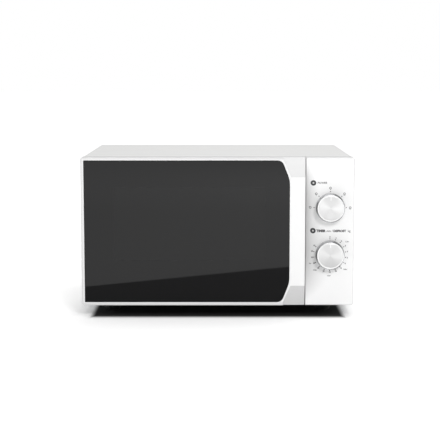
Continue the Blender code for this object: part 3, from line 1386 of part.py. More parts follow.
def thermal_cutout():
    """Disc thermostat on the cavity's side wall."""
    wall = CAVITY_RIGHT_X + SHEET + GAP
    y, z = BEHIND_PLATE_Y + 0.070, CAVITY_FLOOR_Z + 0.075
    flange = block((wall, y - 0.012, z - 0.005), (wall + 0.001, y + 0.012, z + 0.005))
    body = rod((wall, y, z), (wall + 0.010, y, z), 0.008, sides=20)
    tabs = [block((wall + 0.009, y + across, z - 0.003),
                  (wall + 0.010 + TAB_LENGTH, y + across + TAB_THICKNESS, z + 0.003))
            for across in (-0.0044, 0.0036)]
    piece("thermal_cutout", black_plastic(), body, add=[flange, together(tabs)])


def main():
    for obj in list(bpy.data.objects):
        bpy.data.objects.remove(obj, do_unlink=True)
    for build in (outer_case, base_plate, feet, rear_panel, cord_gland, front_plate, oven_cavity,
                  mica_cover, waveguide, oven_lamp, turntable_motor, motor_shaft,
                  turntable_coupler, turntable_plate, roller_ring, rollers, door_frame,
                  door_glass, door_choke_frame, door_screen, door_inner_cover, choke_cover,
                  hinges, hinge_pins, latch_hook, latch_spring, door_switches,
                  interlock_bracket, control_panel, knobs, shafts, rotary_controls, timer_bell,
                  magnetron, transformer_core, transformer_windings, capacitor,
                  capacitor_clamp, diode, fan_shroud, fan_motor, fan_blade, noise_filter,
                  thermal_cutout):
        build()


main()
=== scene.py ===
"""Countertop microwave oven: its visible pieces and finishes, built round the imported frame."""

import json
import math

import bmesh
import bpy
from bpy.props import FloatProperty, FloatVectorProperty, IntProperty, PointerProperty
from mathutils import Matrix, Vector

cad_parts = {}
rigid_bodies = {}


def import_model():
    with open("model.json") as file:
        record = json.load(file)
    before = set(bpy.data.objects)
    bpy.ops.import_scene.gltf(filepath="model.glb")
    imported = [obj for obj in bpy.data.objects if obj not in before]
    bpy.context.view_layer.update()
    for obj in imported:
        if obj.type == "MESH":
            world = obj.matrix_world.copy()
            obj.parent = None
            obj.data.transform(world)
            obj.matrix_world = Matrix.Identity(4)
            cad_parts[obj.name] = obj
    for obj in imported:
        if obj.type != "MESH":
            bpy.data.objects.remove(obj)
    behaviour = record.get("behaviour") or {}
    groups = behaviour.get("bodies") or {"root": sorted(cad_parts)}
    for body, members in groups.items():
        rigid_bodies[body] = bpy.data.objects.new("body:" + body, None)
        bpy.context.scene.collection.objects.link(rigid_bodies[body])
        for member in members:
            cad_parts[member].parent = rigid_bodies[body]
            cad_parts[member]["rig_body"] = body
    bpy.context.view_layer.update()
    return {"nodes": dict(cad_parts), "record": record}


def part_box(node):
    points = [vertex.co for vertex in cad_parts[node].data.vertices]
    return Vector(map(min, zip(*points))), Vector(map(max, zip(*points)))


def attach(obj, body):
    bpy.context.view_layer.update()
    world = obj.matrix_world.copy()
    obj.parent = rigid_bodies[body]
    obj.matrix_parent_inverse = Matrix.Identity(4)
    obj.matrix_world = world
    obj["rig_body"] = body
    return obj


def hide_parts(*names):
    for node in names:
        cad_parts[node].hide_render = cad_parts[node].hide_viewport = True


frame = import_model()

bl_info = {
    "name": "Countertop Microwave Oven",
    "version": (1, 0, 0),
    "blender": (4, 5, 0),
    "location": "3D View > Sidebar > Oven",
    "description": "Builds the visible pieces, finishes and studio of a countertop microwave oven",
    "category": "Object",
}

MM = 0.001
SHEET = 0.8 * MM
SCREEN_BORDER = 5 * MM
RIM_PAINTED_SHADE = 0.7  # how much painted shade, and rougher finish, the front's outer edge gets
SCOOP_REACH, SCOOP_TAPER = 0.47, 0.45  # the finger scoop's half height, and its narrowing upwards
ROW_RISE = math.sqrt(3) / 2  # between a honeycomb's rows, as a share of its pitch
WAVE = 2 * math.pi / 20  # metres between the bands of a wave texture whose scale is 1
WELD = 1e-6  # vertices nearer than this, in metres, are one

PANEL_LOW, PANEL_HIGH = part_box("control_panel")
GLASS_LOW, GLASS_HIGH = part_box("door_glass")
SCREEN_LOW, SCREEN_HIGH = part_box("door_screen")
CAVITY_LOW, CAVITY_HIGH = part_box("oven_cavity")
REAR_LOW, REAR_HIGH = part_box("rear_panel")
CASE_LOW, CASE_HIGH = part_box("outer_case")
PLATE_LOW, PLATE_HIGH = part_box("turntable_plate")
FACE_Y = PANEL_LOW.y


def centre(node):
    low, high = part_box(node)
    return (low + high) / 2


# ---- colours and nodes

def linear(code):
    """An sRGB hex colour as linear red, green, blue and alpha."""
    parts = [int(code[i:i + 2], 16) / 255 for i in (0, 2, 4)]
    return [p / 12.92 if p <= 0.04045 else ((p + 0.055) / 1.055) ** 2.4 for p in parts] + [1.0]


def add(tree, kind, settings, inputs):
    """Adds a node. An input is a value, or another node's output to link from."""
    node = tree.nodes.new(kind)
    for name, value in settings.items():
        setattr(node, name, value)
    for name, value in inputs.items():
        if isinstance(value, bpy.types.NodeSocket):
            tree.links.new(value, node.inputs[name])
        else:
            node.inputs[name].default_value = value
    return node


def surface(name, values):
    """A material with one Principled shader, whose even values are set on its own sockets."""
    made = bpy.data.materials.get(name) or bpy.data.materials.new(name)
    made.use_nodes = True
    tree = made.node_tree
    tree.nodes.clear()
    shader = add(tree, "ShaderNodeBsdfPrincipled", {}, values)
    add(tree, "ShaderNodeOutputMaterial", {}, {"Surface": shader.outputs["BSDF"]})
    place = add(tree, "ShaderNodeTexCoord", {}, {}).outputs["Object"]
    made.diffuse_color = shader.inputs["Base Color"].default_value
    return made, tree, shader, place


def tint(colour):
    """A hex colour, or the name of one of the user's colours and the share of its light."""
    if isinstance(colour, str):
        return linear(colour)
    name, share = colour
    return [part * share for part in list(getattr(colours(), name))[:3]] + [1.0]


def dress(tree, shader, place, colour=None, rough=None, relief=None):
    """Gives a shader its colour and roughness, each as a pattern and the two values that it runs
    between, and its relief, as a pattern and a depth in millimetres. A pattern is a node's output,
    or a noise as its size in millimetres, then its detail and how it is drawn out."""
    for name, look in (("Base Color", colour), ("Roughness", rough), ("Normal", relief)):
        if look is None:
            continue
        pattern, *ends = look
        if isinstance(pattern, tuple):
            size, detail, drawn = pattern + (2.0, None)[len(pattern) - 1:]
            if drawn:
                at = add(tree, "ShaderNodeMapping", {}, {"Vector": place, "Scale": drawn}).outputs["Vector"]
            else:
                at = place
            pattern = add(tree, "ShaderNodeTexNoise", {}, {
                "Vector": at, "Scale": 1 / (size * MM), "Detail": detail}).outputs["Fac"]
        if name == "Base Color":
            ramp = add(tree, "ShaderNodeValToRGB", {}, {"Fac": pattern})
            for stop, end in zip(ramp.color_ramp.elements, ends):
                stop.color = tint(end)
            result = ramp.outputs["Color"]
        elif name == "Roughness":
            result = add(tree, "ShaderNodeMapRange", {}, {
                "Value": pattern, "To Min": ends[0], "To Max": ends[1]}).outputs["Result"]
        else:
            result = add(tree, "ShaderNodeBump", {}, {
                "Height": pattern, "Distance": ends[0] * MM}).outputs["Normal"]
        tree.links.new(result, shader.inputs[name])


# ---- what a user may change

class OvenSizes(bpy.types.PropertyGroup):
    """Sizes of the visible pieces. The frame fixes where each one is."""

    edge: FloatProperty(name="Edge radius", description="Radius on the edges of moulded pieces",
                        default=0.0007, unit="LENGTH")
    outer_edge: FloatProperty(name="Outer edge radius",
                              description="Radius round the front of the door and panel",
                              default=0.0022, unit="LENGTH")
    scoop_depth: FloatProperty(name="Scoop depth", description="Depth of the finger scoop at the panel's edge",
                               default=0.0080, unit="LENGTH")
    scoop_width: FloatProperty(name="Scoop width",
                               description="How far the finger scoop reaches across the panel",
                               default=0.0360, unit="LENGTH")
    pitch: FloatProperty(name="Perforation pitch", description="Between neighbouring holes of the door screen",
                         default=0.0032, unit="LENGTH")
    hole_share: FloatProperty(name="Hole share", description="Hole size as a share of the pitch",
                              default=0.66, subtype="FACTOR")
    screw: FloatProperty(name="Screw head", description="Radius of a case screw's head",
                         default=0.0034, unit="LENGTH")
    tick: FloatProperty(name="Dial tick", description="Length of a printed dial tick",
                        default=0.0016, unit="LENGTH")
    seed: IntProperty(name="Seed", description="Fixes how far round each screw stopped", default=7)


class OvenColours(bpy.types.PropertyGroup):
    """Colours of the main finishes, in linear light."""

    plastic: FloatVectorProperty(name="Plastic", description="Moulded door frame and panel",
                                 subtype="COLOR", size=4, default=linear("F6F6F6"))
    case: FloatVectorProperty(name="Case", description="Powder coat of the steel wrap",
                              subtype="COLOR", size=4, default=linear("F2F2F1"))
    cavity: FloatVectorProperty(name="Cavity", description="Baked coat inside the oven",
                                subtype="COLOR", size=4, default=linear("C8C9C6"))
    glass: FloatVectorProperty(name="Glass print", description="Print behind the door glass",
                               subtype="COLOR", size=4, default=linear("0B0B0C"))
    ink: FloatVectorProperty(name="Ink", description="Printed marks on the panel",
                             subtype="COLOR", size=4, default=linear("3A3B3D"))


def sizes():
    return bpy.context.scene.oven_sizes


def colours():
    return bpy.context.scene.oven_colours


# ---- finishes

# Finishes made of noise alone: the shader's even values, then a colour and a roughness, each as its
# two ends and the noise between them, then a relief's depth in millimetres and its noise. A noise is
# its size in millimetres, its detail and how it is drawn out.
PLAIN = {
    # Polyester powder coat on steel sheet: white, with the 1.4 mm orange peel of cured powder
    # breaking up its soft gloss.
    "powder_coated_steel": (
        {"Roughness": 0.36, "IOR": 1.5, "Coat Weight": 0.15, "Coat Roughness": 0.2},
        (("case", 0.96), ("case", 1.0), 40), None, (0.03, 1.4, 3)),
    # Perforated steel dipped in black enamel: dark with a slight sheen on each web of metal.
    "black_enamelled_screen": (
        {"Roughness": 0.42, "IOR": 1.5}, ("0E0E0F", "1B1B1C", 3), None, (0.01, 0.6)),
    # Clear polyester film over the choke: almost unseen, with a soft wavy gloss.
    "clear_film": (
        {"Base Color": linear("FBFCFC"), "IOR": 1.57, "Transmission Weight": 1.0},
        None, (0.04, 0.10, 12), (0.05, 25, 0)),
    # Glass-filled polyester, moulded black: matt, with a fibrous 0.8 mm skin.
    "black_moulded_polyester": (
        {"Roughness": 0.55, "IOR": 1.55}, ("141414", "232323", 2), None, (0.03, 0.8, 2, (1, 1, 0.3))),
    # Moulded thermoplastic rubber: dull black that scatters light, with dust in its 1 mm grain.
    "foot_rubber": (
        {"Roughness": 0.82, "IOR": 1.5, "Sheen Weight": 0.15, "Sheen Roughness": 0.6},
        ("0C0C0D", "1A1A1B", 1), None, (0.04, 1)),
    # Pressed soda-lime glass: clear with the faintest green, and shallow waves from the press.
    "pressed_table_glass": (
        {"Base Color": linear("F3F9F7"), "IOR": 1.52, "Transmission Weight": 1.0},
        None, (0.02, 0.07, 15), (0.05, 9, 1)),
    # Moulded acetal: milky off-white with light bleeding a little way in, and a waxy shine.
    "natural_acetal": (
        {"Roughness": 0.38, "IOR": 1.48, "Subsurface Weight": 0.2, "Subsurface Scale": 0.002},
        ("E4E2DA", "F0EEE8", 12), None, (0.015, 0.8)),
    # Nickel-plated steel: bright, with fine turning and drawing lines 0.3 mm apart.
    "bright_plated_steel": (
        {"Metallic": 1.0}, ("BDBCB6", "D2D1CC", 5), (0.20, 0.36, 0.3, 2, (1, 0.05, 1)),
        (0.005, 0.3, 2, (1, 0.05, 1))),
    # Thin blown glass: clear and glossy, a little uneven from blowing.
    "blown_lamp_glass": (
        {"Base Color": linear("FDFBF4"), "IOR": 1.47, "Transmission Weight": 1.0},
        None, (0.01, 0.05, 4), (0.05, 6, 0)),
    # ABS knob body under clear lacquer: brighter and glossier than the panel, fine 0.4 mm skin.
    "lacquered_knob_abs": (
        {"Roughness": 0.22, "IOR": 1.53, "Coat Weight": 0.4, "Coat Roughness": 0.08},
        ("EFEFEF", "F7F7F7", 18), None, (0.004, 0.4)),
    # Moulded phenolic switch case: warm ivory, semi-matt, slightly grainy.
    "ivory_switch_plastic": (
        {"Roughness": 0.45, "IOR": 1.55}, ("CFC7B2", "DDD6C4", 2), None, (0.02, 0.6)),
    # Rolled aluminium: pale grey metal with rolling lines 0.4 mm apart along one way.
    "rolled_aluminium": (
        {"Metallic": 1.0}, ("C3C4C5", "D9DADB", 0.4, 2, (0.05, 1, 1)),
        (0.28, 0.42, 0.4, 2, (0.05, 1, 1)), (0.008, 0.4, 2, (0.05, 1, 1))),
    # Paper-phenolic circuit board: tan brown, semi-matt, with a faint woven-paper grain.
    "phenolic_board": (
        {"Roughness": 0.5, "IOR": 1.55}, ("8A5A2E", "B07C48", 1.2, 2, (1, 1, 0.2)), None,
        (0.02, 1.2, 2, (1, 1, 0.2))),
    # Pad-printed epoxy ink: charcoal, duller than the panel, thin and a touch uneven.
    "printed_ink": ({"Roughness": 0.4, "IOR": 1.5}, (("ink", 0.75), ("ink", 1.0), 1.5), None, None),
    # Hot-stamped white foil of the pointers: opaque, matt, with a 0.5 mm stipple.
    "pointer_ink": ({"Roughness": 0.5, "IOR": 1.5}, ("F8F8F8", "FFFFFF", 2), None, (0.004, 0.5)),
    # The shadow in a punched hole: unlit, rough and nearly black, with a burr's faint variation.
    "punched_hole_dark": ({"Roughness": 0.9, "IOR": 1.4}, ("060606", "121212", 1), None, None),
}


def plain(name):
    """One of the finishes made of noise alone."""
    values, colour, rough, relief = PLAIN[name]
    made, tree, shader, place = surface(name, values)
    dress(tree, shader, place, colour and (colour[2:], *colour[:2]),
          rough and (rough[2:], *rough[:2]), relief and (relief[1:], relief[0]))
    return made


def moulded_white_abs():
    # Injection-moulded ABS: bright, glossy white on the polished front. In the finger scoop and round the
    # outer edge the colour is painted greyer, as painted shade, and the surface is made rougher; the mesh
    # carries how much at each vertex. Fine orange peel, 0.5 mm across, breaks up highlights.
    made, tree, shader, place = surface("moulded_white_abs", {"IOR": 1.53})
    matt = add(tree, "ShaderNodeAttribute", {"attribute_name": "matt"}, {}).outputs["Fac"]
    soft = add(tree, "ShaderNodeMath", {"operation": "POWER", "use_clamp": True},
               {0: matt, 1: 0.75}).outputs["Value"]
    tone_and_painted_shade = add(tree, "ShaderNodeMath", {"operation": "MULTIPLY_ADD"}, {
        0: add(tree, "ShaderNodeTexNoise", {}, {"Vector": place, "Scale": 1 / (30 * MM)}).outputs["Fac"],
        1: 0.08, 2: soft}).outputs["Value"]
    # Colour: painted shade where the mesh says so, over a faint random tone.
    dress(tree, shader, place, (tone_and_painted_shade, ("plastic", 1.0), ("plastic", 0.62)), (soft, 0.34, 0.5),
          ((0.5,), 0.012))
    return made


def textured_grip_abs():
    # The same ABS on the grips, with a coarse 0.9 mm texture in relief. Its colour is painted shade: a shade
    # greyer than the smooth face, and darker towards the bottom, so that the grip facing down is darker than
    # the one facing up.
    made, tree, shader, place = surface("textured_grip_abs", {"Roughness": 0.5, "IOR": 1.53})
    # Painted shade, darker towards the bottom of the door.
    height = add(tree, "ShaderNodeMapRange", {}, {
        "Value": add(tree, "ShaderNodeSeparateXYZ", {}, {"Vector": place}).outputs["Z"],
        "From Min": PANEL_LOW.z, "From Max": PANEL_HIGH.z}).outputs["Result"]
    tone_and_painted_shade = add(tree, "ShaderNodeMath", {"operation": "MULTIPLY_ADD"}, {
        0: add(tree, "ShaderNodeTexNoise", {}, {"Vector": place, "Scale": 1 / (2.5 * MM)}).outputs["Fac"],
        1: 0.2, 2: height}).outputs["Value"]
    dress(tree, shader, place, (tone_and_painted_shade, ("plastic", 0.64), ("plastic", 0.82)),
          relief=((0.9,), 0.04))
    return made


def black_printed_glass():
    # Tempered soda-lime glass, screen-printed black behind except for the window: hard mirror
    # gloss over a deep neutral black, and through the window a smoky view of the screen.
    made, tree, shader, place = surface("black_printed_glass", {"Roughness": 0.03, "IOR": 1.43})
    sides = add(tree, "ShaderNodeSeparateXYZ", {}, {"Vector": place}).outputs
    inside = None
    for axis, low, high in (("X", SCREEN_LOW.x, SCREEN_HIGH.x), ("Z", SCREEN_LOW.z, SCREEN_HIGH.z)):
        for edge, way in ((low + SCREEN_BORDER, "GREATER_THAN"), (high - SCREEN_BORDER, "LESS_THAN")):
            test = add(tree, "ShaderNodeMath", {"operation": way},
                       {0: sides[axis], 1: edge}).outputs["Value"]
            inside = test if inside is None else add(
                tree, "ShaderNodeMath", {"operation": "MULTIPLY"}, {0: inside, 1: test}).outputs["Value"]
    clear = add(tree, "ShaderNodeMapRange", {}, {"Value": inside, "To Min": 0.0, "To Max": 0.55})
    tree.links.new(clear.outputs["Result"], shader.inputs["Transmission Weight"])
    # Roller waves of the float process, some 60 mm apart, bend reflections very slightly.
    dress(tree, shader, place, (inside, ("glass", 1.0), "19191A"), relief=((60, 0), 0.02))
    return made


def galvanised_sheet():
    # Hot-dip zinc on steel: a cool grey metal broken into 6 mm spangles of differing shine.
    made, tree, shader, place = surface("galvanised_sheet", {"Metallic": 1.0})
    cells = add(tree, "ShaderNodeTexVoronoi", {}, {"Vector": place, "Scale": 1 / (6 * MM)})
    tone = add(tree, "ShaderNodeSeparateColor", {}, {"Color": cells.outputs["Color"]}).outputs["Red"]
    dress(tree, shader, place, (tone, "A9AEB1", "C9CDCF"), (tone, 0.30, 0.48), ((1,), 0.01))
    return made


def baked_cavity_enamel():
    # Baked epoxy-polyester coat inside the oven: pale warm grey, washable gloss, peppered with
    # darker 0.8 mm specks.
    made, tree, shader, place = surface("baked_cavity_enamel", {"Roughness": 0.28, "IOR": 1.5})
    specks = add(tree, "ShaderNodeTexVoronoi", {}, {"Vector": place, "Scale": 1 / (2.4 * MM)})
    fleck = add(tree, "ShaderNodeMapRange", {}, {
        "Value": specks.outputs["Distance"], "From Min": 0.14, "From Max": 0.18}).outputs["Result"]
    dress(tree, shader, place, (fleck, ("cavity", 0.5), ("cavity", 1.0)), relief=((1.6,), 0.02))
    return made


def phlogopite_mica():
    # Pressed mica board: silvery tan, with 3 mm flakes that each catch the light differently.
    made, tree, shader, place = surface("phlogopite_mica", {
        "IOR": 1.56, "Sheen Weight": 0.2, "Coat Weight": 0.3, "Coat Roughness": 0.3})
    flakes = add(tree, "ShaderNodeTexVoronoi", {}, {"Vector": place, "Scale": 1 / (3 * MM)})
    tone = add(tree, "ShaderNodeSeparateColor", {}, {"Color": flakes.outputs["Color"]}).outputs["Green"]
    dress(tree, shader, place, (tone, "9A8C74", "C4B89E"), (tone, 0.35, 0.6))
    return made


def about(tree, place, axis):
    """The offset from a knob's axis, and the angle round it."""
    offset = add(tree, "ShaderNodeVectorMath", {"operation": "SUBTRACT"},
                 {0: place, 1: axis}).outputs["Vector"]
    parts = add(tree, "ShaderNodeSeparateXYZ", {}, {"Vector": offset}).outputs
    return offset, add(tree, "ShaderNodeMath", {"operation": "ARCTAN2"}, {
        0: parts["Z"], 1: parts["X"]}).outputs["Value"]


def fans(tree, angle, times, low, high):
    """Fans of painted reflection round a turned surface: that many round the axis, smoothed between the two
    levels.
    """
    turns = add(tree, "ShaderNodeMath", {"operation": "MULTIPLY"}, {0: angle, 1: times}).outputs["Value"]
    wave = add(tree, "ShaderNodeMath", {"operation": "COSINE"}, {0: turns}).outputs["Value"]
    return add(tree, "ShaderNodeMapRange", {"interpolation_type": "SMOOTHSTEP"}, {
        "Value": wave, "From Min": low, "From Max": high}).outputs["Result"]


def metallised_chamfer(knob, axis):
    # Turned, vacuum-metallised ABS on the knob's chamfer: a thin silver ring whose colour is painted with
    # three darker fans of reflection, satin, and a little clouded over a few millimetres.
    made, tree, shader, place = surface("metallised_chamfer_" + knob, {"Metallic": 1.0})
    angle = about(tree, place, axis)[1]
    dress(tree, shader, place, (fans(tree, angle, 3.0, -1.0, 0.3), "6E6F71", "C2C3C5"),
          ((2,), 0.18, 0.30))
    return made


def spun_knob_foil(knob, axis):
    # Spun aluminium foil on the knob's face: rings of fine lathe marks spread each highlight into fans that
    # run out from the centre, and two lighter fans of painted highlight, a little rougher too, are added to
    # its colour. The marks are 0.5 mm apart, coarser than real.
    made, tree, shader, place = surface("spun_knob_foil_" + knob, {"Metallic": 0.45, "Anisotropic": 0.6})
    from_axis, angle = about(tree, place, axis)
    painted_highlight = fans(tree, angle, 2.0, -0.9, 0.9)
    across = add(tree, "ShaderNodeVectorMath", {"operation": "CROSS_PRODUCT"},
                 {0: from_axis, 1: (0, 1, 0)}).outputs["Vector"]
    tree.links.new(add(tree, "ShaderNodeVectorMath", {"operation": "NORMALIZE"},
                       {0: across}).outputs["Vector"], shader.inputs["Tangent"])
    radius = add(tree, "ShaderNodeVectorMath", {"operation": "LENGTH"}, {0: from_axis}).outputs["Value"]
    turns = add(tree, "ShaderNodeMath", {"operation": "MULTIPLY"},
                {0: radius, 1: 2 * math.pi / (0.5 * MM)}).outputs["Value"]
    rings = add(tree, "ShaderNodeMath", {"operation": "SINE"}, {0: turns}).outputs["Value"]
    dress(tree, shader, place, (painted_highlight, "E2E2E2", "F0F0F0"), (painted_highlight, 0.30, 0.42), (rings, 0.004))
    return made


def varnished_laminations():
    # Stack of 0.5 mm silicon-steel sheets dipped in varnish: dark brown-grey with a fine edge
    # line for each sheet, drawn 1 mm apart so that it shows.
    made, tree, shader, place = surface("varnished_laminations", {
        "Metallic": 0.6, "Coat Weight": 0.4, "Coat Roughness": 0.25})
    sheets = add(tree, "ShaderNodeTexWave", {"bands_direction": "Y"}, {
        "Vector": place, "Scale": WAVE / (1 * MM), "Distortion": 0.3}).outputs["Fac"]
    dress(tree, shader, place, (sheets, "3A3734", "6B6662"), (sheets, 0.6, 0.4), (sheets, 0.06))
    return made


def enamelled_copper_winding():
    # Layers of enamelled copper wire under varnish: glossy orange-brown cords 0.9 mm across.
    made, tree, shader, place = surface("enamelled_copper_winding", {
        "Metallic": 0.7, "Coat Weight": 0.6, "Coat Roughness": 0.12})
    wires = add(tree, "ShaderNodeTexWave", {"bands_direction": "Z"},
                {"Vector": place, "Scale": WAVE / (0.9 * MM)}).outputs["Fac"]
    dress(tree, shader, place, (wires, "5E2A12", "C4672F"), (wires, 0.5, 0.3), (wires, 0.25))
    return made


# The record's material slots, each with the finish that its nodes take.
FINISHES = {
    "case_paint": "powder_coated_steel", "white_plastic": moulded_white_abs,
    "door_glass": black_printed_glass, "zinc_steel": galvanised_sheet,
    "cavity_enamel": baked_cavity_enamel, "black_screen": "black_enamelled_screen",
    "clear_cover": "clear_film", "black_plastic": "black_moulded_polyester",
    "foot_rubber": "foot_rubber", "table_glass": "pressed_table_glass", "nylon": "natural_acetal",
    "plated_steel": "bright_plated_steel", "mica": phlogopite_mica,
    "lamp_glass": "blown_lamp_glass", "knob_plastic": "lacquered_knob_abs",
    "switch_plastic": "ivory_switch_plastic", "aluminium": "rolled_aluminium",
    "lamination_steel": varnished_laminations, "winding_varnish": enamelled_copper_winding,
    "circuit_board": "phenolic_board",
}


def finish_of(slot):
    """The finish of a slot, made afresh."""
    finish = FINISHES[slot]
    return plain(finish) if isinstance(finish, str) else finish()


# ---- shapes

def solid(name, shape, finish, flat=35):
    """An object of this shape, with smooth faces except across edges sharper than flat."""
    mesh = bpy.data.meshes.new(name)
    shape.to_mesh(mesh)
    shape.free()
    made = bpy.data.objects.new(name, mesh)
    bpy.context.scene.collection.objects.link(made)
    mesh.shade_smooth()
    mesh.set_sharp_from_angle(angle=math.radians(flat))
    if finish is not None:
        mesh.materials.append(finish)
    return made


def settled(made):
    """The object's modifiers turned into a plain mesh."""
    view = bpy.context.evaluated_depsgraph_get()
    mesh = bpy.data.meshes.new_from_object(made.evaluated_get(view), depsgraph=view)
    made.modifiers.clear()
    made.data = mesh
    return made


def fitted(made, body, slot, *nodes):
    """Puts a finished piece on its body and hides the nodes that it stands for. The slot is not used."""
    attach(made, body)
    if nodes:
        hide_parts(*nodes)
    return made


def body_of(node):
    return frame["nodes"][node]["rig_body"]


def slot_of(node):
    return next(row["material_slot"] for row in frame["record"]["subparts"] if row["node"] == node)


def eased(node, name, width, steps=3, sharp=28, flat=35, inner=None, outer=None):
    """A node's shape as one merged body whose sharp edges are rounded.

    Where outer is given, the edges that it holds for get the whole width and the rest get inner.
    """
    shape = bmesh.new()
    shape.from_mesh(frame["nodes"][node].data)
    bmesh.ops.remove_doubles(shape, verts=shape.verts, dist=WELD)
    bmesh.ops.dissolve_limit(shape, angle_limit=math.radians(0.4), verts=shape.verts,
                             edges=shape.edges)
    weight = shape.edges.layers.float.new("bevel_weight_edge")
    for edge in shape.edges:
        if edge.is_manifold and edge.calc_face_angle() > math.radians(sharp):
            whole = outer is None or all(outer(vert.co) for vert in edge.verts)
            edge[weight] = 1.0 if whole else inner / width
    made = solid(name, shape, finish_of(slot_of(node)), flat)
    bevel = made.modifiers.new("edges", "BEVEL")
    bevel.width, bevel.segments = width, steps
    bevel.limit_method = "WEIGHT"
    bevel.harden_normals = True
    return fitted(settled(made), body_of(node), slot_of(node), node)


def bridge(shape, lower, upper):
    """Quads between two rings of as many vertices."""
    for i in range(len(lower)):
        j = (i + 1) % len(lower)
        shape.faces.new((lower[i], lower[j], upper[j], upper[i]))


def lathe(profile, middle, axis, sides):
    """A closed shape turned about Y or Z from (radius, along) points that start and end on the axis."""
    shape = bmesh.new()
    rings = []
    for radius, along in profile:
        ring = []
        for i in range(sides if radius else 1):
            turn = 2 * math.pi * i / sides
            a, b = radius * math.cos(turn), radius * math.sin(turn)
            ring.append(shape.verts.new(Vector((a, along, b) if axis == "Y" else (a, b, along)) + middle))
        rings.append(ring)
    for lower, upper in zip(rings, rings[1:]):
        if len(lower) == 1 or len(upper) == 1:
            tip, ring = (lower[0], upper) if len(lower) == 1 else (upper[0], lower)
            for i in range(sides):
                shape.faces.new((tip, ring[i], ring[(i + 1) % sides]))
        else:
            bridge(shape, lower, upper)
    bmesh.ops.recalc_face_normals(shape, faces=shape.faces)
    return shape


def slab(low, high):
    shape = bmesh.new()
    bmesh.ops.create_cube(shape, size=1)
    for vert in shape.verts:
        vert.co = Vector((c + 0.5) * (b - a) + a for c, a, b in zip(vert.co, low, high))
    return shape


def helper(name, shape):
    """A shape that another piece is made from. It isn't shown."""
    made = solid(name, shape, None)
    made.hide_render = True
    made.display_type = "WIRE"
    return made


def discard(*helpers):
    for made in helpers:
        bpy.data.objects.remove(made)


# ---- geometry trees

def new_tree(name, inputs):
    """A geometry tree with named inputs, its group input node and its output node."""
    tree = bpy.data.node_groups.new(name, "GeometryNodeTree")
    tree.interface.new_socket("Geometry", in_out="OUTPUT", socket_type="NodeSocketGeometry")
    tree.interface.new_socket("Geometry", in_out="INPUT", socket_type="NodeSocketGeometry")
    for label, kind in inputs:
        tree.interface.new_socket(label, in_out="INPUT", socket_type="NodeSocket" + kind)
    start = tree.nodes.new("NodeGroupInput").outputs
    return tree, start


def end_tree(tree, geometry, finish):
    whole = add(tree, "GeometryNodeRealizeInstances", {}, {"Geometry": geometry})
    welded = add(tree, "GeometryNodeMergeByDistance", {}, {"Geometry": whole.outputs["Geometry"],
                                                            "Distance": 2 * WELD})
    painted = add(tree, "GeometryNodeSetMaterial", {}, {"Geometry": welded.outputs["Geometry"],
                                                       "Material": finish})
    add(tree, "NodeGroupOutput", {}, {"Geometry": painted.outputs["Geometry"]})


def grown(name, tree, values, points=()):
    """The plain mesh that a tree makes. Its inputs are set by their sockets' identifiers."""
    shape = bmesh.new()
    for point in points:
        shape.verts.new(point)
    made = solid(name, shape, None)
    nodes = made.modifiers.new("rule", "NODES")
    nodes.node_group = tree
    for item in tree.interface.items_tree:
        if item.in_out == "INPUT" and item.name in values:
            nodes[item.identifier] = values[item.name]
    return settled(made)


def lattice_tree():
    """Tiles set on a honeycomb, inside a border."""
    tree, start = new_tree("honeycomb", [
        ("Tile", "Object"), ("Border", "Object"), ("Columns", "Int"), ("Rows", "Int"),
        ("Pitch", "Float"), ("Corner", "Vector"), ("Finish", "Material")])
    sums = {label: start[label] for label in ("Columns", "Rows", "Pitch")}
    sums["index"] = add(tree, "GeometryNodeInputIndex", {}, {}).outputs["Index"]
    for name, way, *terms in (
            ("count", "MULTIPLY", "Columns", "Rows"), ("share", "DIVIDE", "index", "Columns"),
            ("row", "FLOOR", "share"), ("earlier", "MULTIPLY", "row", "Columns"),
            ("column", "SUBTRACT", "index", "earlier"), ("odd", "MODULO", "row", 2.0),
            ("shift", "MULTIPLY", "odd", 0.5), ("along", "ADD", "column", "shift"),
            ("x", "MULTIPLY", "along", "Pitch"), ("rise", "MULTIPLY", "Pitch", ROW_RISE),
            ("z", "MULTIPLY", "row", "rise")):
        sums[name] = add(tree, "ShaderNodeMath", {"operation": way}, {
            i: sums.get(term, term) for i, term in enumerate(terms)}).outputs["Value"]
    points = add(tree, "GeometryNodeMeshLine", {}, {"Count": sums["count"]})
    spot = add(tree, "ShaderNodeCombineXYZ", {}, {"X": sums["x"], "Z": sums["z"]}).outputs["Vector"]
    spot = add(tree, "ShaderNodeVectorMath", {"operation": "ADD"}, {0: spot, 1: start["Corner"]})
    placed = add(tree, "GeometryNodeSetPosition", {}, {"Geometry": points.outputs["Mesh"],
                                                       "Position": spot.outputs["Vector"]})
    tile = add(tree, "GeometryNodeObjectInfo", {}, {"Object": start["Tile"]})
    tiles = add(tree, "GeometryNodeInstanceOnPoints", {}, {
        "Points": placed.outputs["Geometry"], "Instance": tile.outputs["Geometry"]})
    border = add(tree, "GeometryNodeObjectInfo", {}, {"Object": start["Border"]})
    both = tree.nodes.new("GeometryNodeJoinGeometry")
    tree.links.new(tiles.outputs["Instances"], both.inputs[0])
    tree.links.new(border.outputs["Geometry"], both.inputs[0])
    end_tree(tree, both.outputs["Geometry"], start["Finish"])
    return tree


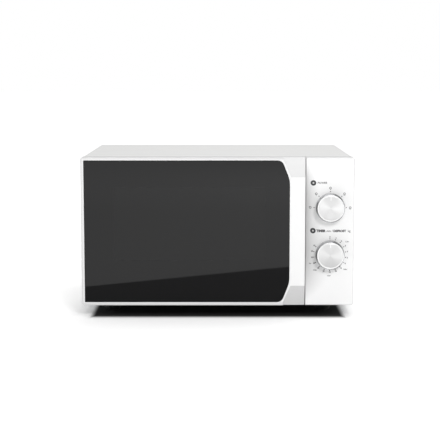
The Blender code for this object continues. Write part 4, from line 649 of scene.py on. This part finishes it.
def scatter_tree():
    """One shape set on each point, turned about its own axis by a seeded amount."""
    tree, start = new_tree("set_on_points", [
        ("Shape", "Object"), ("Facing", "Vector"), ("Most turn", "Float"), ("Seed", "Int"),
        ("Finish", "Material")])
    shape = add(tree, "GeometryNodeObjectInfo", {}, {"Object": start["Shape"]})
    turn = add(tree, "FunctionNodeRandomValue", {"data_type": "FLOAT"}, {
        "Seed": start["Seed"]})
    tree.links.new(start["Most turn"], turn.inputs[3])
    spin = add(tree, "ShaderNodeCombineXYZ", {}, {"Z": turn.outputs[1]}).outputs["Vector"]
    facing = add(tree, "FunctionNodeEulerToRotation", {}, {"Euler": start["Facing"]})
    spun = add(tree, "FunctionNodeRotateRotation", {"rotation_space": "LOCAL"}, {
        "Rotation": facing.outputs["Rotation"],
        "Rotate By": add(tree, "FunctionNodeEulerToRotation", {}, {"Euler": spin}).outputs["Rotation"]})
    set_out = add(tree, "GeometryNodeInstanceOnPoints", {}, {
        "Points": start["Geometry"], "Instance": shape.outputs["Geometry"],
        "Rotation": spun.outputs["Rotation"]})
    end_tree(tree, set_out.outputs["Instances"], start["Finish"])
    return tree


def dial_tree():
    """Ticks evenly round part of a circle, each pointing out from its middle."""
    tree, start = new_tree("dial_ticks", [
        ("Middle", "Vector"), ("Radius", "Float"), ("First", "Float"), ("Last", "Float"),
        ("Count", "Int"), ("Tick", "Vector"), ("Finish", "Material")])
    sums = {label: start[label] for label in ("Count", "First", "Last", "Radius")}
    sums["index"] = add(tree, "GeometryNodeInputIndex", {}, {}).outputs["Index"]
    for name, way, *terms in (
            ("steps", "SUBTRACT", "Count", 1.0), ("share", "DIVIDE", "index", "steps"),
            ("sweep", "SUBTRACT", "Last", "First"), ("past", "MULTIPLY", "share", "sweep"),
            ("turn", "ADD", "First", "past"), ("sine", "SINE", "turn"), ("cosine", "COSINE", "turn"),
            ("x", "MULTIPLY", "sine", "Radius"), ("z", "MULTIPLY", "cosine", "Radius")):
        sums[name] = add(tree, "ShaderNodeMath", {"operation": way}, {
            i: sums.get(term, term) for i, term in enumerate(terms)}).outputs["Value"]
    points = add(tree, "GeometryNodeMeshLine", {}, {"Count": start["Count"]})
    spot = add(tree, "ShaderNodeCombineXYZ", {}, {"X": sums["x"], "Z": sums["z"]}).outputs["Vector"]
    spot = add(tree, "ShaderNodeVectorMath", {"operation": "ADD"}, {0: spot, 1: start["Middle"]})
    placed = add(tree, "GeometryNodeSetPosition", {}, {"Geometry": points.outputs["Mesh"],
                                                       "Position": spot.outputs["Vector"]})
    tick = add(tree, "GeometryNodeMeshCube", {}, {"Size": start["Tick"]})
    euler = add(tree, "ShaderNodeCombineXYZ", {}, {"Y": sums["turn"]}).outputs["Vector"]
    set_out = add(tree, "GeometryNodeInstanceOnPoints", {}, {
        "Points": placed.outputs["Geometry"], "Instance": tick.outputs["Mesh"],
        "Rotation": add(tree, "FunctionNodeEulerToRotation", {}, {"Euler": euler}).outputs["Rotation"]})
    end_tree(tree, set_out.outputs["Instances"], start["Finish"])
    return tree


# ---- the panel's face and its print

KNOBS = {"power": centre("power_knob"), "timer": centre("timer_knob")}


def panel_face(x, z):
    """Where the panel's front is at that place: flat, but for the finger scoop along its left edge."""
    look = sizes()
    middle = (PANEL_LOW.z + PANEL_HIGH.z) / 2
    up = (z - middle) / (SCOOP_REACH * (PANEL_HIGH.z - PANEL_LOW.z))
    along = 1 - up ** 4
    if along <= 0:
        return FACE_Y
    across = 1 - (x - PANEL_LOW.x) / (look.scoop_width * along * (1 - SCOOP_TAPER * up))
    return FACE_Y + look.scoop_depth * along ** 1.5 * max(0.0, across) ** 2


def mark_matt(made, sunk=lambda x, z: 0.0):
    """Stores at each vertex how much painted shade, and rougher finish, the surface gets: all of it where the
    surface is sunk to its deepest, less at the front's outer edge, none on the polished front."""
    low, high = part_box("door_frame")
    store = made.data.attributes.new("matt", "FLOAT", "POINT")
    for spot, vert in zip(store.data, made.data.vertices):
        at = vert.co
        edge = min(at.x - low.x, PANEL_HIGH.x - at.x, at.z - low.z, high.z - at.z)
        spot.value = max(sunk(at.x, at.z), RIM_PAINTED_SHADE * (1 - edge / sizes().outer_edge), 0.0)


def stations(start, end, radius, count):
    """Places from start to end, crowded within a rounded edge of that radius at each end."""
    near = [start + radius * share for share in (0, 0.08, 0.25, 0.5, 0.75)]
    flat = [start + radius + (end - start - 2 * radius) * i / count for i in range(count + 1)]
    return near + flat + [start + end - place for place in reversed(near)]


def written(text, size, x, z, thicken=0.0, align="LEFT"):
    """Lettering as mesh on the XZ plane, facing the front."""
    curve = bpy.data.curves.new("lettering", "FONT")
    curve.body, curve.size, curve.align_x, curve.align_y = text, size, align, "CENTER"
    curve.offset = thicken
    curve.resolution_u = 3
    made = bpy.data.objects.new("lettering", curve)
    bpy.context.scene.collection.objects.link(made)
    mesh = bpy.data.meshes.new_from_object(made.evaluated_get(bpy.context.evaluated_depsgraph_get()))
    bpy.data.objects.remove(made)
    mesh.transform(Matrix.Translation((x, 0, z)) @ Matrix.Rotation(math.radians(90), 4, "X"))
    return mesh


def disc(radius, x, z, hole=0.0, sides=24):
    """A filled or open ring as mesh on the XZ plane."""
    shape = bmesh.new()
    outer = [shape.verts.new((x + radius * math.sin(2 * math.pi * i / sides), 0,
                              z + radius * math.cos(2 * math.pi * i / sides))) for i in range(sides)]
    if hole:
        inner = [shape.verts.new((x + hole * math.sin(2 * math.pi * i / sides), 0,
                                  z + hole * math.cos(2 * math.pi * i / sides))) for i in range(sides)]
        bridge(shape, outer, inner)
    else:
        shape.faces.new(outer)
    mesh = bpy.data.meshes.new("disc")
    shape.to_mesh(mesh)
    shape.free()
    return mesh


def laid_on_panel(name, meshes, finish, proud=0.00004):
    """Flat marks joined, given a little thickness and laid on the panel's face."""
    shape = bmesh.new()
    for mesh in meshes:
        shape.from_mesh(mesh)
        bpy.data.meshes.remove(mesh)
    bmesh.ops.remove_doubles(shape, verts=shape.verts, dist=WELD)
    bmesh.ops.recalc_face_normals(shape, faces=shape.faces)
    for face in shape.faces:
        if face.normal.y > 0:
            face.normal_flip()
    deep = bmesh.ops.extrude_face_region(shape, geom=shape.faces[:])["geom"]
    back = {v for v in deep if isinstance(v, bmesh.types.BMVert)}
    for vert in shape.verts:
        vert.co.y = panel_face(vert.co.x, vert.co.z) - proud * (2.0 if vert in back else 0.25)
    bmesh.ops.recalc_face_normals(shape, faces=shape.faces)
    return solid(name, shape, finish, flat=20)


# ---- pieces

class OVEN_OT_nodes(bpy.types.Operator):
    """Gives each carried-over node the finish of its material slot."""

    bl_idname = "oven.nodes"
    bl_label = "Frame finishes"

    def execute(self, context):
        made = {slot: finish_of(slot) for slot in FINISHES}
        for node, piece in frame["nodes"].items():
            piece.data.materials.clear()
            piece.data.materials.append(made[slot_of(node)])
        return {"FINISHED"}


class OVEN_OT_case(bpy.types.Operator):
    """Steel wrap, rubber feet and cord grommet, with eased edges."""

    bl_idname = "oven.case"
    bl_label = "Case and feet"

    def execute(self, context):
        eased("outer_case", "case_wrap", 0.0003, steps=2, sharp=50)
        for node in ("foot_front_left", "foot_front_right", "foot_rear_left", "foot_rear_right"):
            eased(node, node + "_pad", 0.0008)
        eased("cord_gland", "cord_grommet", 0.0004)
        return {"FINISHED"}


class OVEN_OT_door(bpy.types.Operator):
    """Moulded door frame with its two grips, and the printed glass pane."""

    bl_idname = "oven.door"
    bl_label = "Door"

    def execute(self, context):
        # The front's rim, within 3.2 mm of its left, top and bottom, gets the larger radius.
        low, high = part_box("door_frame")
        made = eased("door_frame", "door_moulding", sizes().outer_edge, flat=60, inner=sizes().edge,
                     outer=lambda p: p.y < low.y + 0.1 * MM and (
                         min(p.x - low.x, p.z - low.z, high.z - p.z) < 3.2 * MM))
        # The two grips are the large faces at the front that slope up or down.
        # The grips' finish is painted greyer, as painted shade.
        made.data.materials.append(textured_grip_abs())
        for face in made.data.polygons:
            if face.normal.y < -0.8 and 0.06 < abs(face.normal.z) < 0.3 and face.area > 20 * MM ** 2:
                face.material_index = 1
        # The front's outer rim gets painted shade.
        mark_matt(made)
        eased("door_glass", "door_pane", 0.0005, steps=2)
        return {"FINISHED"}


class OVEN_OT_screen(bpy.types.Operator):
    """Perforated screen behind the glass: a honeycomb of holes in a plain border."""

    bl_idname = "oven.screen"
    bl_label = "Door screen"

    def execute(self, context):
        look = sizes()
        pitch, lap = look.pitch, SCREEN_BORDER
        middle = (SCREEN_LOW.y + SCREEN_HIGH.y) / 2
        tile = bmesh.new()
        rings = []
        for depth, share in ((-0.25, 1), (-0.25, look.hole_share), (0.25, look.hole_share), (0.25, 1)):
            reach = share * pitch / math.sqrt(3)
            rings.append([tile.verts.new((reach * math.cos(math.radians(30 + 60 * i)), depth * MM,
                                          reach * math.sin(math.radians(30 + 60 * i)))) for i in range(6)])
        for lower, upper in zip(rings, rings[1:]):
            bridge(tile, lower, upper)
        tile = helper("screen_tile", tile)
        border = bmesh.new()
        rings = []
        for y, inset in ((SCREEN_LOW.y, 0), (SCREEN_LOW.y, lap), (SCREEN_HIGH.y, lap), (SCREEN_HIGH.y, 0)):
            low, high = SCREEN_LOW + Vector((inset, 0, inset)), SCREEN_HIGH - Vector((inset, 0, inset))
            rings.append([border.verts.new(c) for c in ((low.x, y, low.z), (high.x, y, low.z),
                                                        (high.x, y, high.z), (low.x, y, high.z))])
        for lower, upper in zip(rings, rings[1:] + rings[:1]):
            bridge(border, lower, upper)
        bmesh.ops.recalc_face_normals(border, faces=border.faces)
        border = helper("screen_border", border)
        columns = int((SCREEN_HIGH.x - SCREEN_LOW.x - 2 * lap) / pitch) + 1
        rows = int((SCREEN_HIGH.z - SCREEN_LOW.z - 2 * lap) / (pitch * ROW_RISE)) + 2
        made = grown("perforated_screen", lattice_tree(), {
            "Tile": tile, "Border": border, "Columns": columns, "Rows": rows, "Pitch": pitch,
            "Corner": (SCREEN_LOW.x + lap, middle, SCREEN_LOW.z + lap),
            "Finish": plain("black_enamelled_screen")})
        discard(tile, border)
        fitted(made, "door", "black_screen", "door_screen")
        return {"FINISHED"}


class OVEN_OT_panel(bpy.types.Operator):
    """Control panel: a moulded shell whose front sinks into the finger scoop."""

    bl_idname = "oven.panel"
    bl_label = "Control panel"

    def execute(self, context):
        corner, wall = 3 * MM, 2.2 * MM
        ease, split_ease = sizes().outer_edge, sizes().edge

        def fall(distance, radius):
            return radius - math.sqrt(max(0.0, radius ** 2 - max(0.0, radius - distance) ** 2))

        def grid(inset, sink, radius):
            rows = []
            low, high = PANEL_LOW.z + inset, PANEL_HIGH.z - inset
            across = PANEL_HIGH.x - PANEL_LOW.x - 2 * inset
            for z in stations(low, high, ease, 80):
                into = max(0.0, corner - min(z - low, high - z))
                right = PANEL_HIGH.x - inset - corner + math.sqrt(max(0.0, corner ** 2 - into ** 2))
                share = (right - PANEL_LOW.x - inset) / across
                row = []
                for place in stations(0.0, across, ease, 36):
                    x = PANEL_LOW.x + inset + place * share
                    y = panel_face(x, z) + sink
                    if radius:
                        y += max(fall(place, split_ease), fall(across - place, radius),
                                 fall(min(z - low, high - z), radius))
                    row.append(shape.verts.new((x, y, z)))
                rows.append(row)
            for lower, upper in zip(rows, rows[1:]):
                for a, b, c, d in zip(lower, lower[1:], upper[1:], upper):
                    shape.faces.new((a, b, c, d))
            edge = (rows[0] + [row[-1] for row in rows[1:-1]] + rows[-1][::-1]
                    + [row[0] for row in rows[-2:0:-1]])
            back = [shape.verts.new((v.co.x, PANEL_HIGH.y, v.co.z)) for v in edge]
            bridge(shape, edge, back)
            return back

        shape = bmesh.new()
        bridge(shape, grid(0.0, 0.0, ease), grid(wall, wall, 0.0))
        bmesh.ops.recalc_face_normals(shape, faces=shape.faces)
        made = solid("panel_moulding", shape, moulded_white_abs(), flat=50)
        # Painted shade in the finger scoop and round the outer rim.
        mark_matt(made, lambda x, z: (panel_face(x, z) - FACE_Y) / sizes().scoop_depth)
        bores = []
        for name, spot in KNOBS.items():
            bore = helper(name + "_bore", lathe([(0, -2 * MM), (4.8 * MM, -2 * MM), (4.8 * MM, 5 * MM),
                                                 (0, 5 * MM)], Vector((spot.x, FACE_Y, spot.z)), "Y", 32))
            cut = made.modifiers.new(name, "BOOLEAN")
            cut.object, cut.operation, cut.solver = bore, "DIFFERENCE", "EXACT"
            bores.append(bore)
        settled(made)
        discard(*bores)
        fitted(made, body_of("control_panel"), "white_plastic", "control_panel")
        return {"FINISHED"}


class OVEN_OT_knobs(bpy.types.Operator):
    """Two knobs, each a turned cup with a spun foil face and a stamped pointer."""

    bl_idname = "oven.knobs"
    bl_label = "Knobs"

    def execute(self, context):
        cup = [(0, -13.0), (19.3, -13.0), (19.6, -13.1), (19.9, -13.35), (20.3, -13.5), (20.9, -13.48),
               (21.4, -13.3), (21.9, -12.8), (22.6, -11.6), (23.1, -9.8), (23.4, -7.0), (23.5, -4.0),
               (23.5, -1.4), (23.35, -1.1), (23.1, -1.0), (21.6, -1.0), (21.3, -1.3), (20.9, -10.6),
               (5.6, -10.6), (5.6, -2.5), (3.35, -2.5), (3.35, -9.8), (0, -9.8)]
        foil = [(0, -13.3), (18.2, -13.28), (18.8, -13.22), (19.1, -13.1), (19.1, -13.02), (0, -13.02)]
        for name, spot in KNOBS.items():
            middle = Vector((spot.x, FACE_Y, spot.z))
            body, node = body_of(name + "_knob"), name + "_knob"
            made = solid(node + "_cup", lathe([(r * MM, y * MM) for r, y in cup], middle, "Y", 96),
                         plain("lacquered_knob_abs"), flat=45)
            made.data.materials.append(metallised_chamfer(name, middle))
            for face in made.data.polygons:
                out = Vector((face.center.x - middle.x, 0, face.center.z - middle.z)).length
                if out > 21.6 * MM and face.center.y < FACE_Y - 2 * MM:
                    face.material_index = 1
            fitted(made, body, "knob_plastic", node)
            fitted(solid(node + "_face", lathe([(r * MM, y * MM) for r, y in foil], middle, "Y", 96),
                         spun_knob_foil(name, middle), flat=45), body, "knob_plastic")
            bar = slab(middle + Vector((-0.6, -13.42, 12.6)) * MM, middle + Vector((0.6, -13.26, 18.4)) * MM)
            bmesh.ops.bevel(bar, geom=[e for e in bar.edges if abs((e.verts[0].co - e.verts[1].co).y) > 1e-5],
                            offset=0.5 * MM, segments=4, affect="EDGES", profile=0.5)
            fitted(solid(node + "_pointer", bar, plain("pointer_ink")), body, "knob_plastic")
        return {"FINISHED"}


class OVEN_OT_print(bpy.types.Operator):
    """Printed marks: dial ticks, numbers, weights and plain words for what each knob sets."""

    bl_idname = "oven.print"
    bl_label = "Panel print"

    def execute(self, context):
        look, ink = sizes(), plain("printed_ink")
        power, timer = KNOBS["power"], KNOBS["timer"]
        words = []
        for spot, top in ((power, 39.8), (timer, 38.6)):
            x, z = PANEL_LOW.x + 11.6 * MM, spot.z + top * MM
            words += [disc(4.4 * MM, x, z, 1.4 * MM), disc(0.5 * MM, x, z)]
        z = power.z + 39.8 * MM
        words.append(written("POWER", 4.4 * MM, power.x - 20.6 * MM, z, 0.07 * MM))
        z = timer.z + 38.4 * MM
        for text, size, place, bold in (("TIMER", 5.2, -21.8, 0.3), ("min /", 5.0, -5.9, 0.05),
                                        ("DEFROST", 4.8, 5.4, 0.26), ("kg", 4.8, 28.6, 0.05)):
            words.append(written(text, size * MM, timer.x + place * MM, z, bold * MM))
        numbers = [0, 1, 2, 3, 4, 5, 6, 8, 10, 12, 15, 18, 20, 25, 30, 35]
        for i, number in enumerate(numbers):
            turn = math.radians(300) * i / (len(numbers) - 1)
            words.append(written(str(number), 3.1 * MM, timer.x + 28.8 * MM * math.sin(turn),
                                 timer.z + 28.8 * MM * math.cos(turn), 0.12 * MM, "CENTER"))
        for weight, degrees in (("0.2kg", 52), ("0.4kg", 134), ("0.6kg", 182),
                                ("0.8kg", 222), ("1kg", 244)):
            turn = math.radians(degrees)
            words.append(written(weight, 2.7 * MM, timer.x + 35.2 * MM * math.sin(turn),
                                 timer.z + 34.4 * MM * math.cos(turn), 0.05 * MM, "CENTER"))
        for i in range(5):
            turn = math.radians(-90 + 45 * i)
            x, z = power.x + 32 * MM * math.sin(turn), power.z + 31.6 * MM * math.cos(turn)
            words.append(disc(1.9 * MM, x, z, 1.1 * MM, 16))
            for step in range(i + 1):
                words.append(disc(0.33 * MM, x + (step - i / 2) * 0.75 * MM, z - 2.5 * MM, 0, 8))
        fitted(laid_on_panel("panel_lettering", words, ink), "oven", "black_plastic")
        rule = dial_tree()
        for name, spot, first, last, count in (("power", power, -90, 90, 5), ("timer", timer, 0, 300, 16)):
            ticks = grown(name + "_scale", rule, {
                "Middle": (spot.x, FACE_Y, spot.z), "Radius": 25.9 * MM, "First": math.radians(first),
                "Last": math.radians(last), "Count": count,
                "Tick": (1.25 * MM, 0.1 * MM, look.tick), "Finish": ink})
            for vert in ticks.data.vertices:
                vert.co.y = panel_face(vert.co.x, vert.co.z) + (vert.co.y - FACE_Y)
            fitted(ticks, "oven", "black_plastic")
        return {"FINISHED"}


class OVEN_OT_screws(bpy.types.Operator):
    """Cross-recess screws along the case's rear flange and in the rear cover."""

    bl_idname = "oven.screws"
    bl_label = "Screws"

    def execute(self, context):
        look = sizes()
        r = look.screw
        head = helper("screw_head", lathe([(0, 0.42 * r), (0.45 * r, 0.40 * r), (0.8 * r, 0.30 * r),
                                           (0.97 * r, 0.14 * r), (r, -0.03 * r), (0, -0.03 * r)],
                                          Vector(), "Z", 20))
        slots = []
        for i in range(2):
            half = Vector((0.55 * r, 0.1 * r, 0.0) if i else (0.1 * r, 0.55 * r, 0.0))
            slot = helper("recess", slab(-half + Vector((0, 0, 0.15 * r)), half + Vector((0, 0, 0.6 * r))))
            cut = head.modifiers.new("recess", "BOOLEAN")
            cut.object, cut.operation, cut.solver = slot, "DIFFERENCE", "EXACT"
            slots.append(slot)
        settled(head)
        discard(*slots)
        flange, cover = CASE_HIGH.y, REAR_HIGH.y
        points = [(x, flange, z) for x in (CASE_LOW.x + 6 * MM, CASE_HIGH.x - 6 * MM)
                  for z in (0.055, 0.145, 0.235)]
        points += [(x, flange, CASE_HIGH.z - 6 * MM) for x in (-0.13, 0.0, 0.13)]
        points += [(x, cover, z) for x, z in ((-0.19, 0.032), (-0.06, 0.032), (0.07, 0.032), (0.15, 0.032),
                                              (0.115, 0.232), (0.201, 0.232), (0.115, 0.105), (0.201, 0.105))]
        made = grown("rear_screws", scatter_tree(), {
            "Shape": head, "Facing": (-math.pi / 2, 0, 0), "Most turn": math.pi / 2, "Seed": look.seed,
            "Finish": plain("bright_plated_steel")}, points)
        discard(head)
        fitted(made, "oven", "plated_steel")
        return {"FINISHED"}


class OVEN_OT_perforations(bpy.types.Operator):
    """Punched air holes in the cavity's walls, each a shallow disc on the enamel, dark with the painted shadow
    inside the hole.
    """

    bl_idname = "oven.perforations"
    bl_label = "Cavity perforations"

    def execute(self, context):
        hole = helper("punched_hole", lathe([(0, 0.12 * MM), (1.1 * MM, 0.12 * MM), (1.3 * MM, 0.02 * MM),
                                             (0, 0.02 * MM)], Vector(), "Z", 12))
        rule = scatter_tree()
        for name, x, turn, y, z, columns, rows in (
                ("left", CAVITY_LOW.x + SHEET, math.pi / 2, 0.060, 0.188, 12, 6),
                ("right", CAVITY_HIGH.x - SHEET, -math.pi / 2, 0.020, 0.205, 9, 4)):
            points = [(x, y + (i + 0.5 * (j % 2)) * 4.2 * MM, z + j * 3.7 * MM)
                      for i in range(columns) for j in range(rows)]
            made = grown("perforation_" + name, rule, {
                "Shape": hole, "Facing": (0, turn, 0), "Most turn": 0.0, "Seed": 1,
                "Finish": plain("punched_hole_dark")}, points)
            fitted(made, "oven", "cavity_enamel")
        discard(hole)
        return {"FINISHED"}


class OVEN_OT_turntable(bpy.types.Operator):
    """Glass turntable plate: pressed, with a raised rim and a raised ring below."""

    bl_idname = "oven.turntable"
    bl_label = "Turntable plate"

    def execute(self, context):
        middle = (PLATE_LOW + PLATE_HIGH) / 2
        rim, base, top = (PLATE_HIGH.x - PLATE_LOW.x) / 2, PLATE_LOW.z + 6 * MM, PLATE_HIGH.z
        profile = [(0, 0), (rim - 0.0118, 0), (rim - 0.0080, 0.0008), (rim - 0.0045, 0.0030),
                   (rim - 0.0015, 0.0062), (rim - 0.0002, 0.0088), (rim, 0.0098), (rim - 0.0004, top - base),
                   (rim - 0.0012, top - base), (rim - 0.0030, 0.0098), (rim - 0.0060, 0.0072),
                   (rim - 0.0100, 0.0050), (rim - 0.0135, 0.0042), (0, 0.0040)]
        shape = lathe(profile, Vector((middle.x, middle.y, base)), "Z", 128)
        made = solid("turntable_glass", shape, plain("pressed_table_glass"), flat=60)
        fitted(made, body_of("turntable_plate"), "table_glass", "turntable_plate")
        lugs = bmesh.new()
        for i in range(3):
            turn = math.radians(60 + 120 * i)
            spot = Vector((middle.x + 14.5 * MM * math.cos(turn), middle.y + 14.5 * MM * math.sin(turn), base))
            part = lathe([(0, -6 * MM), (2.6 * MM, -6 * MM), (3.1 * MM, -5.5 * MM), (3.2 * MM, -0.02 * MM),
                          (0, -0.02 * MM)], spot, "Z", 24)
            mesh = bpy.data.meshes.new("lug")
            part.to_mesh(mesh)
            part.free()
            lugs.from_mesh(mesh)
            bpy.data.meshes.remove(mesh)
        fitted(solid("turntable_lugs", lugs, plain("pressed_table_glass")),
               body_of("turntable_plate"), "table_glass")
        return {"FINISHED"}


class OVEN_OT_studio(bpy.types.Operator):
    """White floor that glows a little, soft lights, a reflected flag and the camera."""

    bl_idname = "oven.studio"
    bl_label = "Studio"

    def execute(self, context):
        scene = context.scene
        floor = bmesh.new()
        bmesh.ops.create_grid(floor, x_segments=8, y_segments=8, size=20)
        made, tree, shader, place = surface("studio_floor", {
            "Roughness": 0.9, "Emission Color": linear("FFFFFF")})
        # The deep contact shadow: black below the case, fading out past its front and sides.
        away = add(tree, "ShaderNodeSeparateXYZ", {}, {"Vector": add(
            tree, "ShaderNodeVectorMath", {"operation": "ABSOLUTE"}, {0: place}).outputs["Vector"]})
        past = [add(tree, "ShaderNodeMapRange", {"interpolation_type": "SMOOTHSTEP"}, {
            "Value": away.outputs[axis], "From Min": near, "From Max": far}).outputs["Result"]
                for axis, near, far in (("X", 0.199, 0.211), ("Y", 0.155, 0.182))]
        outside = add(tree, "ShaderNodeMath", {"operation": "MAXIMUM"}, {0: past[0], 1: past[1]})
        outside = outside.outputs["Value"]
        dress(tree, shader, place, (outside, "181818", "F6F6F6"))
        # Behind the oven, and far off all round, the floor glows more, to meet the backdrop unseen.
        reach = add(tree, "ShaderNodeVectorMath", {"operation": "LENGTH"}, {0: place}).outputs["Value"]
        behind = add(tree, "ShaderNodeSeparateXYZ", {}, {"Vector": place}).outputs["Y"]
        glow = [add(tree, "ShaderNodeMapRange", {}, {
            "Value": value, "From Min": near, "From Max": far,
            "To Min": 0.22, "To Max": 0.72}).outputs["Result"]
                for value, near, far in ((behind, -0.3, 1.6), (reach, 1.7, 4.2))]
        glow = add(tree, "ShaderNodeMath", {"operation": "MAXIMUM"}, {0: glow[0], 1: glow[1]}).outputs["Value"]
        tree.links.new(add(tree, "ShaderNodeMath", {"operation": "MULTIPLY"},
                           {0: outside, 1: glow}).outputs["Value"],
                       shader.inputs["Emission Strength"])
        solid("studio_floor", floor, made)

        world = bpy.data.worlds.new("studio")
        world.use_nodes = True
        scene.world = world
        world.node_tree.nodes.clear()
        seen = add(world.node_tree, "ShaderNodeLightPath", {}, {}).outputs["Is Camera Ray"]
        # The backdrop is white to the camera, and dimmer as a source of light.
        strength = add(world.node_tree, "ShaderNodeMapRange", {}, {
            "Value": seen, "To Min": 0.42, "To Max": 1.0})
        sky = add(world.node_tree, "ShaderNodeBackground", {}, {
            "Color": linear("FFFFFF"), "Strength": strength.outputs["Result"]})
        add(world.node_tree, "ShaderNodeOutputWorld", {}, {"Surface": sky.outputs["Background"]})

        for name, spot, target, width, height, power in (
                ("front_softbox", (0.85, -2.8, 1.9), (0, 0, 0.13), 0.8, 0.8, 40.0),
                ("top_softbox", (0.2, 0.3, 2.4), (0, 0, 0.1), 2.2, 2.2, 33.0)):
            light = bpy.data.lights.new(name, "AREA")
            light.shape, light.size, light.size_y, light.energy = "RECTANGLE", width, height, power
            lamp = bpy.data.objects.new(name, light)
            scene.collection.objects.link(lamp)
            lamp.location = spot
            lamp.rotation_euler = (Vector(target) - Vector(spot)).to_track_quat("-Z", "Y").to_euler()

        # A dark flag low in front, seen only in reflections, gives the pane its darker foot.
        flag = bmesh.new()
        flag.faces.new([flag.verts.new(c) for c in (
            (-0.34, -0.19, 0.001), (0.34, -0.19, 0.001), (0.34, -0.80, 0.001), (-0.34, -0.385, 0.001))])
        made, tree, shader, place = surface("studio_flag", {"Roughness": 1.0})
        dress(tree, shader, place, ((300,), "8E8E8E", "989898"))
        flag = solid("studio_flag", flag, made)
        flag.visible_camera = flag.visible_diffuse = flag.visible_shadow = flag.visible_transmission = False

        lens = bpy.data.cameras.new("camera")
        lens.lens, lens.sensor_width = 102.56, 36.0
        lens.clip_start, lens.clip_end = 0.05, 100
        camera = bpy.data.objects.new("camera", lens)
        scene.collection.objects.link(camera)
        camera.location = (0.0038, -2.1664, 0.3984)
        camera.rotation_euler = (math.radians(90 - 6.846), 0, 0)
        scene.camera = camera
        scene.view_settings.view_transform = "Standard"
        return {"FINISHED"}


class OVEN_PT_panel(bpy.types.Panel):
    """Sizes, colours and pieces of the oven."""

    bl_idname = "OVEN_PT_panel"
    bl_label = "Microwave oven"
    bl_space_type = "VIEW_3D"
    bl_region_type = "UI"
    bl_category = "Oven"

    def draw(self, context):
        for group in (context.scene.oven_sizes, context.scene.oven_colours):
            box = self.layout.box()
            for name in group.__annotations__:
                box.prop(group, name)
        for operator in OPERATORS:
            self.layout.operator(operator.bl_idname)


OPERATORS = (OVEN_OT_nodes, OVEN_OT_case, OVEN_OT_door, OVEN_OT_screen, OVEN_OT_panel,
             OVEN_OT_knobs, OVEN_OT_print, OVEN_OT_screws, OVEN_OT_perforations,
             OVEN_OT_turntable, OVEN_OT_studio)
CLASSES = (OvenSizes, OvenColours) + OPERATORS + (OVEN_PT_panel,)


def register():
    for kind in CLASSES:
        bpy.utils.register_class(kind)
    bpy.types.Scene.oven_sizes = PointerProperty(type=OvenSizes)
    bpy.types.Scene.oven_colours = PointerProperty(type=OvenColours)


def unregister():
    del bpy.types.Scene.oven_sizes
    del bpy.types.Scene.oven_colours
    for kind in reversed(CLASSES):
        bpy.utils.unregister_class(kind)


def main():
    register()
    for operator in OPERATORS:
        group, name = operator.bl_idname.split(".")
        if getattr(getattr(bpy.ops, group), name)() != {"FINISHED"}:
            raise RuntimeError(operator.bl_label + " wasn't finished")


if __name__ == "__main__":
    main()
